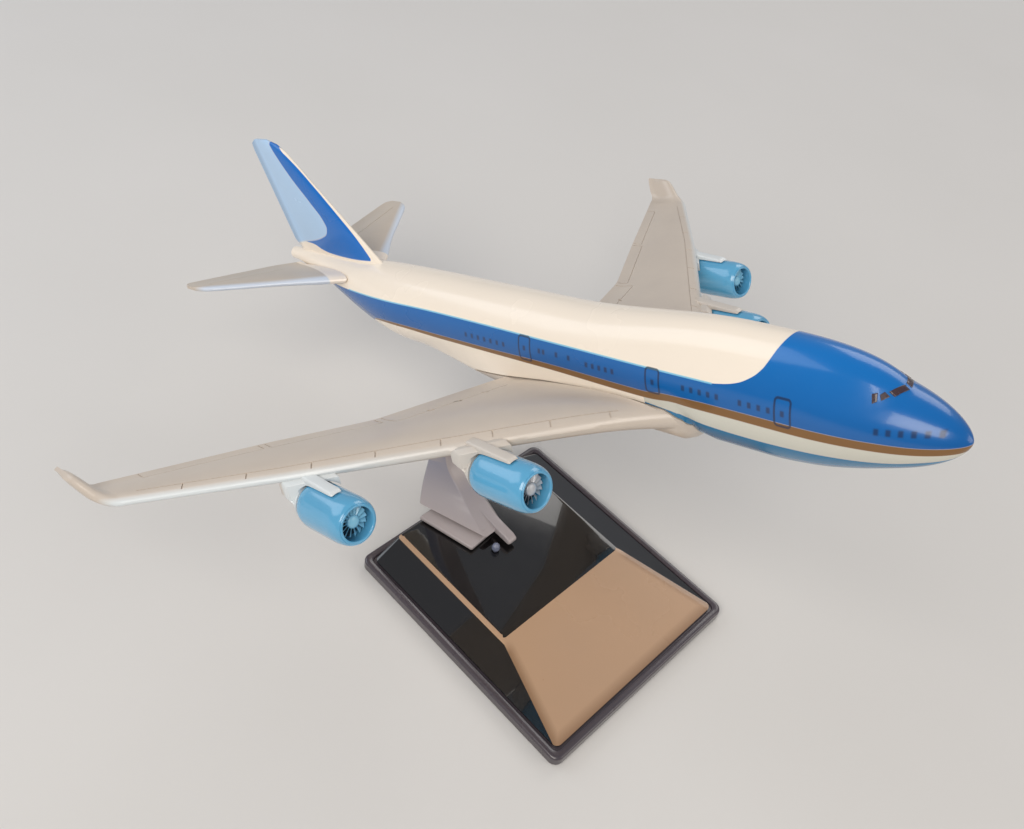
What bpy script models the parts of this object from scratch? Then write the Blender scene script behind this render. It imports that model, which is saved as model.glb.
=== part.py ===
"""Desktop airliner model: a four-engine wide-body aeroplane held nose-up by a curved arm on a low base.

The aeroplane is drawn in metres of the full-size aircraft (X towards the nose with the nose tip at 0, Y to
port, Z up from the middle of the cabin tube) and is brought to model size and pitch by one matrix. The stand
is drawn directly in metres, with the origin in the middle of the base's underside.
"""

import math

import bmesh
import bpy
from mathutils import Matrix, Vector

MM = 0.001
GAP = 0.3 * MM

# The aeroplane in the stand's frame.
SCALE = 1 / 441.7
PITCH = math.radians(26.6)
PIVOT_STATION = 33.0
PIVOT = Vector((-10.35, 0.0, 63.6)) * MM
TO_STAND = (
    Matrix.Translation(PIVOT)
    @ Matrix.Rotation(-PITCH, 4, "Y")
    @ Matrix.Scale(SCALE, 4)
    @ Matrix.Translation((PIVOT_STATION, 0.0, 0.0))
)
AIR_GAP = GAP / SCALE

# Fuselage, in full-size metres.
TUBE_R = 3.25
NOSE_LENGTH = 10.0
NOSE_DROOP = 0.2
WINDSCREEN_AFT = 3.4
HUMP_TOP = 4.4
HUMP_R = 2.4
HUMP_END = (15.0, 31.0)
TAIL_START = 46.0
LENGTH = 69.2
TAIL_TOP = 3.0
TAIL_BOTTOM = 1.9
TAIL_RISE = (48.8, 70.4)
CHIN_DEPTH = 0.81
CHIN_FRONT = (3.5, 12.5)
BELLY_BOTTOM = -4.4
BELLY_FRONT = (16.5, 19.5)
BELLY_REAR = (36.5, 49.5)
HULL_POINTS = 32
WALL = 0.72

# Line of the joint between the fuselage casting and the wing casting, aft distance and height.
SEAM = [(17.8, -3.9), (18.0, -2.5), (20.1, -1.65), (22.6, -1.55)]
SEAM += [(27.8, -1.78), (32.0, -2.2), (36.3, -2.85), (40.4, -3.3)]
BELOW_BELLY = -6.5

# Wing.
WING_ROOT_Z = -2.35
WING_TIP_Y = 30.2
WING_TIP_Z = -1.05
WING_LE_SWEEP = (0.845, 0.92)
WING_TE_SWEEP = (0.268, 0.59)
WING_KINK_Y = (22.0, 13.5)
WING_POINTS = 7
BEND_R = 1.3
BEND_ANGLE = math.radians(63.0)
WINGLET_LENGTH = 1.45

# Engines: span station, aft distance of the inlet lip and height of the axis.
INNER_ENGINE = (12.45, 23.15, -3.6)
OUTER_ENGINE = (21.06, 31.1, -3.65)
NACELLE_LENGTH = 5.15
NACELLE_R = 1.66
INLET_R = 1.16
FAN_R = 1.1
FAN_HUB_R = 0.45
FAN_DEPTH = 0.6
FAN_WIDTH = 0.34
FAN_TWIST = math.radians(16.0)
BLADES = 16
WEB_BACK = 4.6
WEB_HALF = 1.4
WEB_SWEEP = 0.8
RIDGE_HALF = 0.42
AXLE_R = 0.22
AXLE_CLEARANCE = AIR_GAP
AXLE_LENGTH = 1.1
NACELLE_SEGMENTS = 28

# Fin and tailplane.
FIN_TIP_Z = 13.9
FIN_BASE_Z = 2.4
STAB_SPAN = 11.9
STAB_Z = 1.6
STAB_DIHEDRAL = 0.168

# Peg of the arm in the belly, and belly screws.
PEG_STATION = 37.0
PEG_SIZE = (1.9, 1.1, 1.9)
SCREW_STATIONS = (24.5, 33.0)
SCREW_HEAD_R = 0.8
SCREW_SHANK_R = 0.36
BOSS_R = 1.0

# Base.
BASE_X = 28.05 * MM
BASE_Y = 24.85 * MM
PLINTH_TOP = 2.4 * MM
PAD_T = 0.7 * MM
RIM_BOTTOM = 0.4 * MM
BASE_TOP = 5.0 * MM
TOP_REAR = -26.2 * MM
TOP_FRONT = 4.45 * MM
TOP_HALF = 16.5 * MM
COVER_INSET = 1.9 * MM
COVER_WALL = 1.3 * MM
CORNER_STEPS = 3

# Arm foot: the tongue's middle, length and width, and the pin's place and lower end in millimetres.
TONGUE = (-20.0 * MM, 7.0 * MM, 2.4 * MM)
PIN_PLACE = (-11.1, -3.8)
PIN_BOTTOM = 3.4
PIN_HOLE_R = 0.65


def clear_scene():
    for obj in list(bpy.data.objects):
        bpy.data.objects.remove(obj, do_unlink=True)


def material(name, color, roughness, metallic=0.0, coat=0.0):
    mat = bpy.data.materials.new(name)
    mat.use_nodes = True
    shader = mat.node_tree.nodes["Principled BSDF"]
    shader.inputs["Base Color"].default_value = (*color, 1.0)
    shader.inputs["Roughness"].default_value = roughness
    shader.inputs["Metallic"].default_value = metallic
    shader.inputs["Coat Weight"].default_value = coat
    return mat


def mesh_object(name, points, faces):
    mesh = bpy.data.meshes.new(name)
    mesh.from_pydata([tuple(p) for p in points], [], faces)
    bm = bmesh.new()
    bm.from_mesh(mesh)
    bmesh.ops.recalc_face_normals(bm, faces=bm.faces)
    bm.to_mesh(mesh)
    bm.free()
    obj = bpy.data.objects.new(name, mesh)
    bpy.context.scene.collection.objects.link(obj)
    return obj


def loft(name, rings):
    """A closed skin over rings of equal point count, capped at both ends."""
    count = len(rings[0])
    points = [p for ring in rings for p in ring]
    faces = [tuple(range(count)), tuple(range(len(points) - count, len(points)))]
    for i in range(len(rings) - 1):
        for k in range(count):
            j = (k + 1) % count
            faces.append((i * count + k, i * count + j, (i + 1) * count + j, (i + 1) * count + k))
    return mesh_object(name, points, faces)


def triangulated(obj):
    """Splits twisted faces, so that a Boolean reads them as flat."""
    bm = bmesh.new()
    bm.from_mesh(obj.data)
    bmesh.ops.triangulate(bm, faces=bm.faces)
    bm.to_mesh(obj.data)
    bm.free()
    return obj


def prism(name, outline, low, high):
    """An outline of (x, z) points drawn out along Y."""
    rings = [[Vector((x, y, z)) for x, z in outline] for y in (low, high)]
    return loft(name, rings)


def box(name, low, high):
    outline = [(low[0], low[2]), (high[0], low[2]), (high[0], high[2]), (low[0], high[2])]
    return prism(name, outline, low[1], high[1])


def turned(name, profile, segments, center):
    """A solid of revolution about X from (x, radius) points that run from axis to axis."""
    rings = []
    for x, r in profile:
        angles = [2 * math.pi * k / segments for k in range(segments)]
        rings.append([center + Vector((x, r * math.cos(a), r * math.sin(a))) for a in angles])
    return loft(name, rings)


def upright_cylinder(name, station, radius, low, high, segments=14):
    angles = [2 * math.pi * (k + 0.3) / segments for k in range(segments)]
    rings = []
    for z in (low, high):
        rings.append([Vector((-station + radius * math.cos(a), radius * math.sin(a), z)) for a in angles])
    return loft(name, rings)


def combine(obj, other, operation):
    """Applies an exact Boolean and removes the other object."""
    modifier = obj.modifiers.new(operation, "BOOLEAN")
    modifier.operation = operation
    modifier.solver = "EXACT"
    modifier.object = other
    graph = bpy.context.evaluated_depsgraph_get()
    mesh = bpy.data.meshes.new_from_object(obj.evaluated_get(graph))
    obj.modifiers.clear()
    obj.data = mesh
    bpy.data.objects.remove(other, do_unlink=True)
    return obj


def finish(obj, mat, matrix=None, angle=35.0):
    """Brings a piece to its place, gives it its material and smooths its round faces."""
    if matrix:
        obj.data.transform(matrix)
    obj.data.materials.clear()
    obj.data.materials.append(mat)
    obj.data.shade_smooth()
    obj.data.set_sharp_from_angle(angle=math.radians(angle))
    return obj


def set_origin(obj, point):
    obj.data.transform(Matrix.Translation(-point))
    obj.location = point


def smoothstep(value, low, high):
    t = min(max((value - low) / (high - low), 0.0), 1.0)
    return t * t * (3 - 2 * t)


def hull_lobes(aft):
    """Circles (offset to either side, height of centre, radius) whose common outline is the section."""
    nose = min(aft / NOSE_LENGTH, 1.0)
    radius = TUBE_R * (1 - (1 - nose) ** 2.2) ** 0.62
    center = -NOSE_DROOP * (1 - nose)
    tail = max(aft - TAIL_START, 0.0) / (LENGTH - TAIL_START)
    if tail > 0:
        top = TUBE_R - (TUBE_R - TAIL_TOP) * tail**1.5
        bottom = -TUBE_R + (TUBE_R + TAIL_BOTTOM) * smoothstep(aft, *TAIL_RISE)
        radius = (top - bottom) / 2
        center = (top + bottom) / 2
    lobes = [(0.0, center, radius)]
    chin = smoothstep(aft, *CHIN_FRONT) * (1 - smoothstep(aft, *BELLY_FRONT))
    if chin > 0:
        lobes.append((0.0, center - CHIN_DEPTH * chin, radius + 0.1 * chin))
    behind = aft - WINDSCREEN_AFT
    if behind > 0 and aft < HUMP_END[1]:
        fall = smoothstep(aft, *HUMP_END)
        top = 2.2 + (HUMP_TOP - 2.2) * (1 - math.exp(-behind / 2.6))
        top += (TUBE_R - top) * fall
        upper = 1.3 + (HUMP_R - 1.3) * (1 - math.exp(-behind / 3.0))
        upper += (TUBE_R - upper) * fall
        lobes.append((0.0, top - upper, upper))
    bulge = smoothstep(aft, *BELLY_FRONT) * (1 - smoothstep(aft, *BELLY_REAR))
    if bulge > 0:
        corner = 1.2 + 0.45 * bulge
        bottom = -2.8 + (BELLY_BOTTOM + 2.8) * bulge
        lobes.append((1.2, bottom + corner, corner))
    return lobes


def hull_ring(aft, grow=0.0, count=HULL_POINTS):
    """Points of the section, one for each outward direction, which keeps the rings in step."""
    ring = []
    for k in range(count):
        angle = 2 * math.pi * (k + 0.5) / count
        across, up = math.cos(angle), math.sin(angle)
        offset, center, radius = max(
            hull_lobes(aft), key=lambda lobe: lobe[0] * abs(across) + lobe[1] * up + lobe[2]
        )
        radius = max(radius + grow, 0.02)
        ring.append(Vector((-aft, math.copysign(offset, across) + radius * across, center + radius * up)))
    return ring


def hull_stations():
    nose = [0.012 + NOSE_LENGTH * (k / 10) ** 1.75 for k in range(11)]
    middle = [10.0 + 2.4 * k for k in range(1, 15)]
    tail = [TAIL_START + (LENGTH - TAIL_START) * k / 9 for k in range(9)]
    return nose + middle + tail + [LENGTH - 0.25]


def hull(name, grow=0.0, count=HULL_POINTS):
    rings = [hull_ring(aft, grow, count) for aft in hull_stations()]
    end = hull_ring(LENGTH, grow - 0.25, count)
    return loft(name, rings + [end])


def below_seam(name, grow):
    """Everything under the joint line, as a block across the aircraft."""
    start, last = SEAM[0], SEAM[-1]
    outline = [(-start[0] + grow, BELOW_BELLY), (-start[0] + grow, start[1] + grow)]
    outline += [(-aft + grow, z + grow) for aft, z in SEAM[1:3]]
    outline += [(-aft, z + grow) for aft, z in SEAM[3:-1]]
    outline += [(-last[0] - grow, last[1] + grow), (-last[0] - grow, BELOW_BELLY)]
    return prism(name, outline, -7.0, 7.0)


def foil(le, te, thick, blunt, points=WING_POINTS):
    """Half-thicknesses and chord fractions of a wing section, run round from the rear over the top."""
    stations = [0.5 * (1 + math.cos(math.pi * k / points)) for k in range(points + 1)]
    section = []
    for sign, order in ((1, stations), (-1, stations[-2:0:-1])):
        for s in order:
            body = 2.969 * math.sqrt(s) - 1.26 * s - 3.516 * s**2 + 2.843 * s**3 - 1.036 * s**4
            half = max(0.5 * thick * body, 0.5 * blunt * min(1.0, s * 12))
            section.append((le + (te - le) * s, sign * half))
    section.append((te, -0.5 * blunt))
    return section


def wing_section(y, z, le, te, thick, roll, side, te_drop=0.0):
    """One wing rib: its thickness direction is rolled up towards the tip."""
    ring = []
    for x, half in foil(le, te, thick, 0.3):
        drop = te_drop * (x - le) / (te - le)
        across = side * (y - half * math.sin(roll))
        ring.append(Vector((x, across, z - drop + half * math.cos(roll))))
    return ring


def wing_edges(y):
    """Leading and trailing edge of the flat part of the wing."""
    glove = 2.2 * math.exp(-(y - 2.4) / 1.5)
    le_kink, te_kink = WING_KINK_Y
    le = -20.9 - WING_LE_SWEEP[0] * (min(y, le_kink) - 3.2) - WING_LE_SWEEP[1] * max(y - le_kink, 0.0)
    te = -36.3 - WING_TE_SWEEP[0] * (min(y, te_kink) - 3.2) - WING_TE_SWEEP[1] * max(y - te_kink, 0.0)
    return le + glove, te


def wing(side):
    """Main panel, bend and winglet in one loft."""
    rings = []
    spans = [1.2, 2.6, 3.6, 4.6, 6.0, 8.5, 12.0, 16.0, 20.0, 24.0, 27.5, WING_TIP_Y]
    for y in spans:
        out = (y - 3.2) / (WING_TIP_Y - 3.2)
        z = WING_ROOT_Z + (WING_TIP_Z - WING_ROOT_Z) * out
        le, te = wing_edges(y)
        thick = 1.5 * (1 - out) ** 1.3 + 0.82
        rings.append(wing_section(y, z, le, te, thick, 0.0, side, 0.5 * max(1 - out * 1.6, 0.0)))
    le, te = wing_edges(WING_TIP_Y)
    steps = 4
    for k in range(1, steps + 1):
        roll = BEND_ANGLE * k / steps
        y = WING_TIP_Y + BEND_R * math.sin(roll)
        z = WING_TIP_Z + BEND_R * (1 - math.cos(roll))
        back = (k / steps) ** 1.3
        rings.append(wing_section(y, z, le - 1.9 * back, te - 0.8 * back, 0.8, roll, side))
    bend_y, bend_z = y, z
    tip = ((0.6, 2.7, 1.2, 0.72), (0.9, 3.2, 1.35, 0.62), (1.0, 3.7, 1.3, 0.36))
    for along, le_back, te_back, thick in tip:
        reach = WINGLET_LENGTH * along
        y = bend_y + reach * math.cos(BEND_ANGLE)
        z = bend_z + reach * math.sin(BEND_ANGLE)
        rings.append(wing_section(y, z, le - le_back, te - te_back, thick, BEND_ANGLE, side))
    return loft("wing", rings)


def pylon(engine, side):
    """The block between the wing and a nacelle, with the low ridge along the nacelle's crown."""
    span, lip, axis_z = engine
    y = side * span
    rear = -(lip + NACELLE_LENGTH)
    sections = [
        (rear - AIR_GAP, 1.42, 0.0, 1.42),
        (rear - 0.5, 1.3, 0.25, 1.18),
        (rear - 1.5, 0.95, 0.9, 0.8),
        (rear - 2.6, 0.5, 1.3, 0.4),
    ]
    rings = []
    for x, wide, lift, tall in sections:
        angles = [2 * math.pi * k / 16 for k in range(16)]
        rings.append(
            [Vector((x, y + wide * math.cos(a), axis_z + lift + tall * math.sin(a))) for a in angles]
        )
    block = loft("pylon", rings)
    rings = []
    for out in (-WEB_HALF, WEB_HALF):
        front = -lip - WEB_BACK - WEB_SWEEP * out
        outline = [(front, 0.7), (front, 1.8), (front - 0.5, 2.05)]
        outline += [(rear - 1.6, 1.7), (rear - 1.6, 0.9), (rear - 0.2, 0.4)]
        rings.append([Vector((x, y + side * out, axis_z + up)) for x, up in outline])
    web = triangulated(loft("web", rings))
    ridge_z = axis_z + NACELLE_R + 0.3
    outline = [(-lip - 1.6, ridge_z - 0.8), (-lip - 1.68, ridge_z - 0.22), (-lip - 1.95, ridge_z)]
    outline += [(rear - 1.0, ridge_z + 0.3), (rear - 1.0, ridge_z - 0.8)]
    ridge = prism("ridge", outline, y - RIDGE_HALF, y + RIDGE_HALF)
    return combine(combine(block, web, "UNION"), ridge, "UNION")


def nacelle_outline():
    """Outer line of a nacelle, distance behind the lip and radius."""
    line = [(0.0, 1.28), (0.06, 1.4), (0.3, 1.53), (0.8, 1.63), (1.5, NACELLE_R), (3.9, NACELLE_R)]
    return line + [(4.55, 1.63), (4.95, 1.54), (NACELLE_LENGTH, 1.38)]


def nacelle_space(engine, side):
    """The nacelle's outline grown by the gap, which the wing casting is cut back from."""
    span, lip, axis_z = engine
    behind = NACELLE_LENGTH + AIR_GAP
    line = [(AIR_GAP, 0.05)]
    line += [(-x, r + AIR_GAP) for x, r in nacelle_outline()[:-1]]
    line += [(-behind, 1.6), (-behind, 0.05)]
    return turned("space", line, NACELLE_SEGMENTS, Vector((-lip, side * span, axis_z)))


def nacelle(name, engine, side, mat):
    span, lip, axis_z = engine
    floor = FAN_DEPTH + FAN_WIDTH + 0.35
    bore = AXLE_R + AXLE_CLEARANCE
    profile = [(-floor - AXLE_LENGTH - 0.1, 0.02), (-floor - AXLE_LENGTH - 0.1, bore), (-floor, bore)]
    profile += [(-floor, FAN_R + 0.13), (-0.5, FAN_R + 0.12), (-0.1, INLET_R)]
    profile += [(-x, r) for x, r in nacelle_outline()]
    profile += [(-NACELLE_LENGTH, 0.02)]
    obj = turned(name, profile, NACELLE_SEGMENTS, Vector((-lip, side * span, axis_z)))
    return finish(obj, mat, TO_STAND)


def fan(name, engine, side, mat):
    """Twisted blades round a hub, with the axle behind."""
    span, lip, axis_z = engine
    center = Vector((-lip - FAN_DEPTH, side * span, axis_z))
    step = 2 * math.pi / BLADES
    shape = []
    for k in range(BLADES):
        for part, radius in ((-0.42, FAN_HUB_R), (-0.26, FAN_R), (0.26, FAN_R), (0.42, FAN_HUB_R)):
            shape.append((step * (k + part), radius))
    rings = []
    for x, twist in ((0.0, 0.0), (-FAN_WIDTH, FAN_TWIST)):
        turned_shape = [(r * math.cos(a + twist), r * math.sin(a + twist)) for a, r in shape]
        rings.append([center + Vector((x, y, z)) for y, z in turned_shape])
    obj = loft(name, rings)
    hub = [(0.16, 0.02), (0.16, 0.36), (0.06, FAN_HUB_R * 0.97), (-FAN_WIDTH * 0.8, FAN_HUB_R * 0.97)]
    hub += [(-FAN_WIDTH * 0.8, AXLE_R), (-FAN_WIDTH - 0.35 - AXLE_LENGTH + 0.15, AXLE_R)]
    hub += [(-FAN_WIDTH - 0.35 - AXLE_LENGTH + 0.15, 0.02)]
    combine(obj, turned("hub", hub, 16, center), "UNION")
    finish(obj, mat, TO_STAND)
    set_origin(obj, TO_STAND @ center)
    return obj


def peg_box(name, grow):
    """The arm's peg, or with grow the pocket it stands in."""
    along, across, tall = PEG_SIZE
    top = BELLY_BOTTOM + tall + grow
    low = (-PEG_STATION - along / 2 - grow, -across / 2 - grow, BELOW_BELLY + 0.6)
    return box(name, low, (-PEG_STATION + along / 2 + grow, across / 2 + grow, top))


def wing_casting(mat):
    """Both wings, the belly fairing between them and the four pylons."""
    obj = combine(below_seam("wing_casting", 0.0), hull("belly"), "INTERSECT")
    for side in (-1, 1):
        panel = wing(side)
        for engine in (INNER_ENGINE, OUTER_ENGINE):
            combine(panel, pylon(engine, side), "UNION")
            combine(panel, nacelle_space(engine, side), "DIFFERENCE")
        above = combine(hull("above", AIR_GAP), below_seam("below", -0.05), "DIFFERENCE")
        combine(obj, combine(panel, above, "DIFFERENCE"), "UNION")
    combine(obj, peg_box("pocket", AIR_GAP), "DIFFERENCE")
    for station in SCREW_STATIONS:
        combine(obj, upright_cylinder("sink", station, SCREW_HEAD_R + 0.14, -7.0, -3.45), "DIFFERENCE")
        combine(obj, upright_cylinder("hole", station, SCREW_SHANK_R + 0.14, -4.0, 0.0), "DIFFERENCE")
    return finish(obj, mat, TO_STAND)


def fin():
    """Fin with a rounded tip, its root sunk in the fuselage."""
    rings = []
    for z, le_back, te_ahead, thick in (
        (FIN_BASE_Z, 0.0, 1.2, 1.1),
        (4.0, 0.0, 0.0, 1.1),
        (7.2, 0.0, 0.0, 0.95),
        (10.4, 0.0, 0.0, 0.8),
        (12.8, 0.0, 0.0, 0.66),
        (13.5, 0.45, 0.15, 0.56),
        (FIN_TIP_Z, 1.6, 0.9, 0.34),
    ):
        le = -55.2 - 1.2 * (z - 4.0) - le_back
        te = -68.1 - 0.36 * (z - 4.0) + te_ahead
        rings.append([Vector((x, half, z)) for x, half in foil(le, te, thick, 0.3)])
    return loft("fin", rings)


def tailplane_tab(side, grow):
    low_y, high_y = sorted((side * 0.5, side * 2.2))
    low = (-65.6 - grow, low_y - grow, STAB_Z + 0.02 - grow)
    return box("tab", low, (-62.2 + grow, high_y + grow, STAB_Z + 0.5 + grow))


def tailplane(name, side, mat):
    """One half of the tailplane, cut to the fuselage's side, with a root tab."""
    rings = []
    for y, le, te, thick in (
        (0.4, -55.9, -67.3, 1.2),
        (3.0, -57.9, -68.2, 1.1),
        (6.0, -60.9, -68.5, 0.85),
        (9.0, -63.4, -68.8, 0.68),
        (10.8, -64.9, -68.95, 0.58),
        (11.5, -65.7, -68.85, 0.5),
        (STAB_SPAN, -66.7, -68.3, 0.32),
    ):
        rings.append(wing_section(y, STAB_Z + STAB_DIHEDRAL * y, le, te, thick, 0.0, side))
    obj = loft(name, rings)
    combine(obj, hull("skin", AIR_GAP), "DIFFERENCE")
    combine(obj, tailplane_tab(side, 0.0), "UNION")
    return finish(obj, mat, TO_STAND)


def cavity():
    """The hollow of the fuselage casting, closed at nose and tail and open where the wing casting lies."""
    stations = [6.5, 9.0, 13.0, 17.0, 22.0, 28.0, 34.0, 40.0, 46.0, 52.0, 57.0]
    return loft("cavity", [hull_ring(aft, -WALL, 20) for aft in stations])


def fuselage_casting(mat):
    obj = combine(hull("fuselage_casting"), cavity(), "DIFFERENCE")
    for station in SCREW_STATIONS:
        combine(obj, upright_cylinder("boss", station, BOSS_R, -4.0, TUBE_R - 0.3), "UNION")
    combine(obj, below_seam("under", AIR_GAP), "DIFFERENCE")
    for station in SCREW_STATIONS:
        combine(obj, upright_cylinder("pilot", station, SCREW_SHANK_R + 0.06, -7.0, 0.8), "DIFFERENCE")
    combine(obj, fin(), "UNION")
    for side in (-1, 1):
        combine(obj, tailplane_tab(side, AIR_GAP), "DIFFERENCE")
    return finish(obj, mat, TO_STAND)


def belly_screw(name, station, mat):
    """Pan-head screw with a cross slot, driven up through the wing casting."""
    head = -3.6
    obj = upright_cylinder(name, station, SCREW_HEAD_R, head - 0.5, head, 16)
    combine(obj, upright_cylinder("shank", station, SCREW_SHANK_R, head - 0.2, 0.4), "UNION")
    for long_x, long_y in ((0.5, 0.12), (0.12, 0.5)):
        low = (-station - long_x, -long_y, head - 0.7)
        combine(obj, box("slot", low, (-station + long_x, long_y, head - 0.28)), "DIFFERENCE")
    return finish(obj, mat, TO_STAND)


def rounded_rectangle(x_low, x_high, half_y, z, radius):
    """Corner arcs joined by straight sides, always with the same point count."""
    points = []
    for quarter, (cx, cy) in enumerate(
        (
            (x_high - radius, half_y - radius),
            (x_low + radius, half_y - radius),
            (x_low + radius, -half_y + radius),
            (x_high - radius, -half_y + radius),
        )
    ):
        for k in range(CORNER_STEPS + 1):
            angle = math.pi / 2 * (quarter + k / CORNER_STEPS)
            points.append(Vector((cx + radius * math.cos(angle), cy + radius * math.sin(angle), z)))
    return points


def base_plinth(mat):
    """Flat tray with a rolled rim, open in the middle for the pad and the ballast."""
    inset = 5.0 * MM
    rim = [(0.0, RIM_BOTTOM), (0.0, PLINTH_TOP - 0.5 * MM), (0.15, PLINTH_TOP - 0.15 * MM)]
    rim += [(0.5, PLINTH_TOP), (1.3, PLINTH_TOP), (1.45, PLINTH_TOP - 0.5 * MM)]
    rings = []
    for inward, z in rim:
        edge = inward * MM
        radius = 1.8 * MM - edge * 0.5
        rings.append(rounded_rectangle(-BASE_X + edge, BASE_X - edge, BASE_Y - edge, z, radius))
    low, high, half = -BASE_X + inset, BASE_X - inset, BASE_Y - inset
    floor = PLINTH_TOP - 0.5 * MM
    rings.append(rounded_rectangle(low, high, half, floor, 1.0 * MM))
    rings.append(rounded_rectangle(low, high, half, PAD_T + GAP, 1.0 * MM))
    under = 1.6 * MM
    low, high, half = -BASE_X + under, BASE_X - under, BASE_Y - under
    rings.append(rounded_rectangle(low, high, half, PAD_T + GAP, 1.2 * MM))
    rings.append(rounded_rectangle(low, high, half, RIM_BOTTOM, 1.2 * MM))
    return finish(ring_band("base_plinth", rings), mat, angle=30.0)


def ring_band(name, rings):
    """A frame-shaped solid: the last ring joins back to the first."""
    count = len(rings[0])
    points = [p for ring in rings for p in ring]
    faces = []
    for i in range(len(rings)):
        n = (i + 1) % len(rings)
        for k in range(count):
            j = (k + 1) % count
            faces.append((i * count + k, i * count + j, n * count + j, n * count + k))
    return mesh_object(name, points, faces)


def base_cover(mat):
    """Glossy upper shell: flat top at the rear, long slope at the front, open underneath."""
    foot_z = PLINTH_TOP - 0.5 * MM + GAP
    low, high, half = -BASE_X + COVER_INSET, BASE_X - COVER_INSET, BASE_Y - COVER_INSET
    wall = COVER_WALL
    inner_foot = (low + wall, high - 2 * wall, half - wall * 1.5)
    sections = [
        (TOP_REAR + wall, TOP_FRONT - wall, TOP_HALF - wall, BASE_TOP - wall, 0.6 * MM),
        (*inner_foot, foot_z + 0.2 * MM, 0.8 * MM),
        (*inner_foot, foot_z, 0.8 * MM),
        (low, high, half, foot_z, 1.2 * MM),
        (low, high, half, foot_z + 0.35 * MM, 1.2 * MM),
    ]
    edges = ((0.15, 2.0, 0.6, 0.3, 0.9), (-0.2, 0.4, 0.0, 0.06, 0.8), (-0.7, -0.6, -0.7, 0.0, 0.6))
    for back, ahead, out, down, radius in edges:
        sections.append(
            (
                TOP_REAR - back * MM,
                TOP_FRONT + ahead * MM,
                TOP_HALF + out * MM,
                BASE_TOP - down * MM,
                radius * MM,
            )
        )
    obj = loft("base_cover", [rounded_rectangle(*section) for section in sections])
    x, long, wide = TONGUE
    low = (x - long / 2 - GAP, -wide / 2 - GAP, 0.0)
    combine(obj, box("slot", low, (x + long / 2 + GAP, wide / 2 + GAP, 8 * MM)), "DIFFERENCE")
    angles = [2 * math.pi * k / 12 for k in range(12)]
    x, y = PIN_PLACE
    corners = [(x + PIN_HOLE_R * math.cos(a), y + PIN_HOLE_R * math.sin(a)) for a in angles]
    hole = loft("hole", [[Vector((cx, cy, z)) * MM for cx, cy in corners] for z in (0.0, 8.0)])
    combine(obj, hole, "DIFFERENCE")
    return finish(obj, mat, angle=30.0)


def flat_plate(name, x_low, x_high, half, low, high, radius, mat):
    rings = [rounded_rectangle(x_low, x_high, half, z, radius) for z in (low, high)]
    return finish(loft(name, rings), mat)


# Arm ribs from foot to belly in millimetres: (x, z) of the rear and the front edge, then the sides
# (starboard y, port y) of each. The foot spreads further to starboard.
ARM_RIBS = [
    ((-29.2, 7.2), (-13.6, 7.2), (-9.4, 4.2), (-4.8, 0.7)),
    ((-31.2, 9.8), (-22.2, 9.4), (-7.2, 3.6), (-3.1, 1.4)),
    ((-32.8, 13.8), (-28.2, 13.6), (-4.7, 3.3), (-2.8, 2.0)),
    ((-33.2, 19.4), (-29.4, 19.8), (-3.6, 3.2), (-2.5, 2.2)),
    ((-31.2, 27.6), (-26.6, 28.0), (-3.0, 3.0), (-2.3, 2.3)),
    ((-26.2, 36.0), (-20.8, 35.2), (-2.6, 2.6), (-2.2, 2.2)),
    ((-20.8, 43.4), (-14.6, 42.2), (-2.4, 2.4), (-2.2, 2.2)),
    ((-17.6, 50.2), (-9.6, 54.0), (-2.4, 2.4), (-2.2, 2.2)),
]
RIB_ROUNDING = 0.8
RIB_STEPS = 3


def spline(values, t):
    """Catmull-Rom value at position t along the list."""
    i = min(int(t), len(values) - 2)
    u = t - i
    p0, p1 = values[max(i - 1, 0)], values[i]
    p2, p3 = values[i + 1], values[min(i + 2, len(values) - 1)]
    line = 2 * p1 + (p2 - p0) * u + (2 * p0 - 5 * p1 + 4 * p2 - p3) * u**2
    return 0.5 * (line + (3 * p1 - p0 - 3 * p2 + p3) * u**3)


def arm_rib(t):
    """One rounded rib of the arm."""
    flat = [[value for pair in rib for value in pair] for rib in ARM_RIBS]
    rx, rz, fx, fz, *sides = (spline([rib[k] for rib in flat], t) for k in range(8))
    length = math.hypot(fx - rx, fz - rz)
    ring = []
    for quarter, (end, port) in enumerate(((1, 1), (0, 1), (0, 0), (1, 0))):
        edge = sides[2 * end + port] + (-RIB_ROUNDING if port else RIB_ROUNDING)
        middle = RIB_ROUNDING / length if end == 0 else 1 - RIB_ROUNDING / length
        for k in range(RIB_STEPS):
            angle = math.pi / 2 * (quarter + k / (RIB_STEPS - 1))
            u = middle + RIB_ROUNDING / length * math.cos(angle)
            across = edge + RIB_ROUNDING * math.sin(angle)
            ring.append(Vector((rx + (fx - rx) * u, across, rz + (fz - rz) * u)) * MM)
    return ring


def foot_plate(name, outline, low, high):
    """A plate of (x, y) corners, in millimetres."""
    return loft(name, [[Vector((x, y, z)) * MM for x, y in outline] for z in (low, high)])


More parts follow.
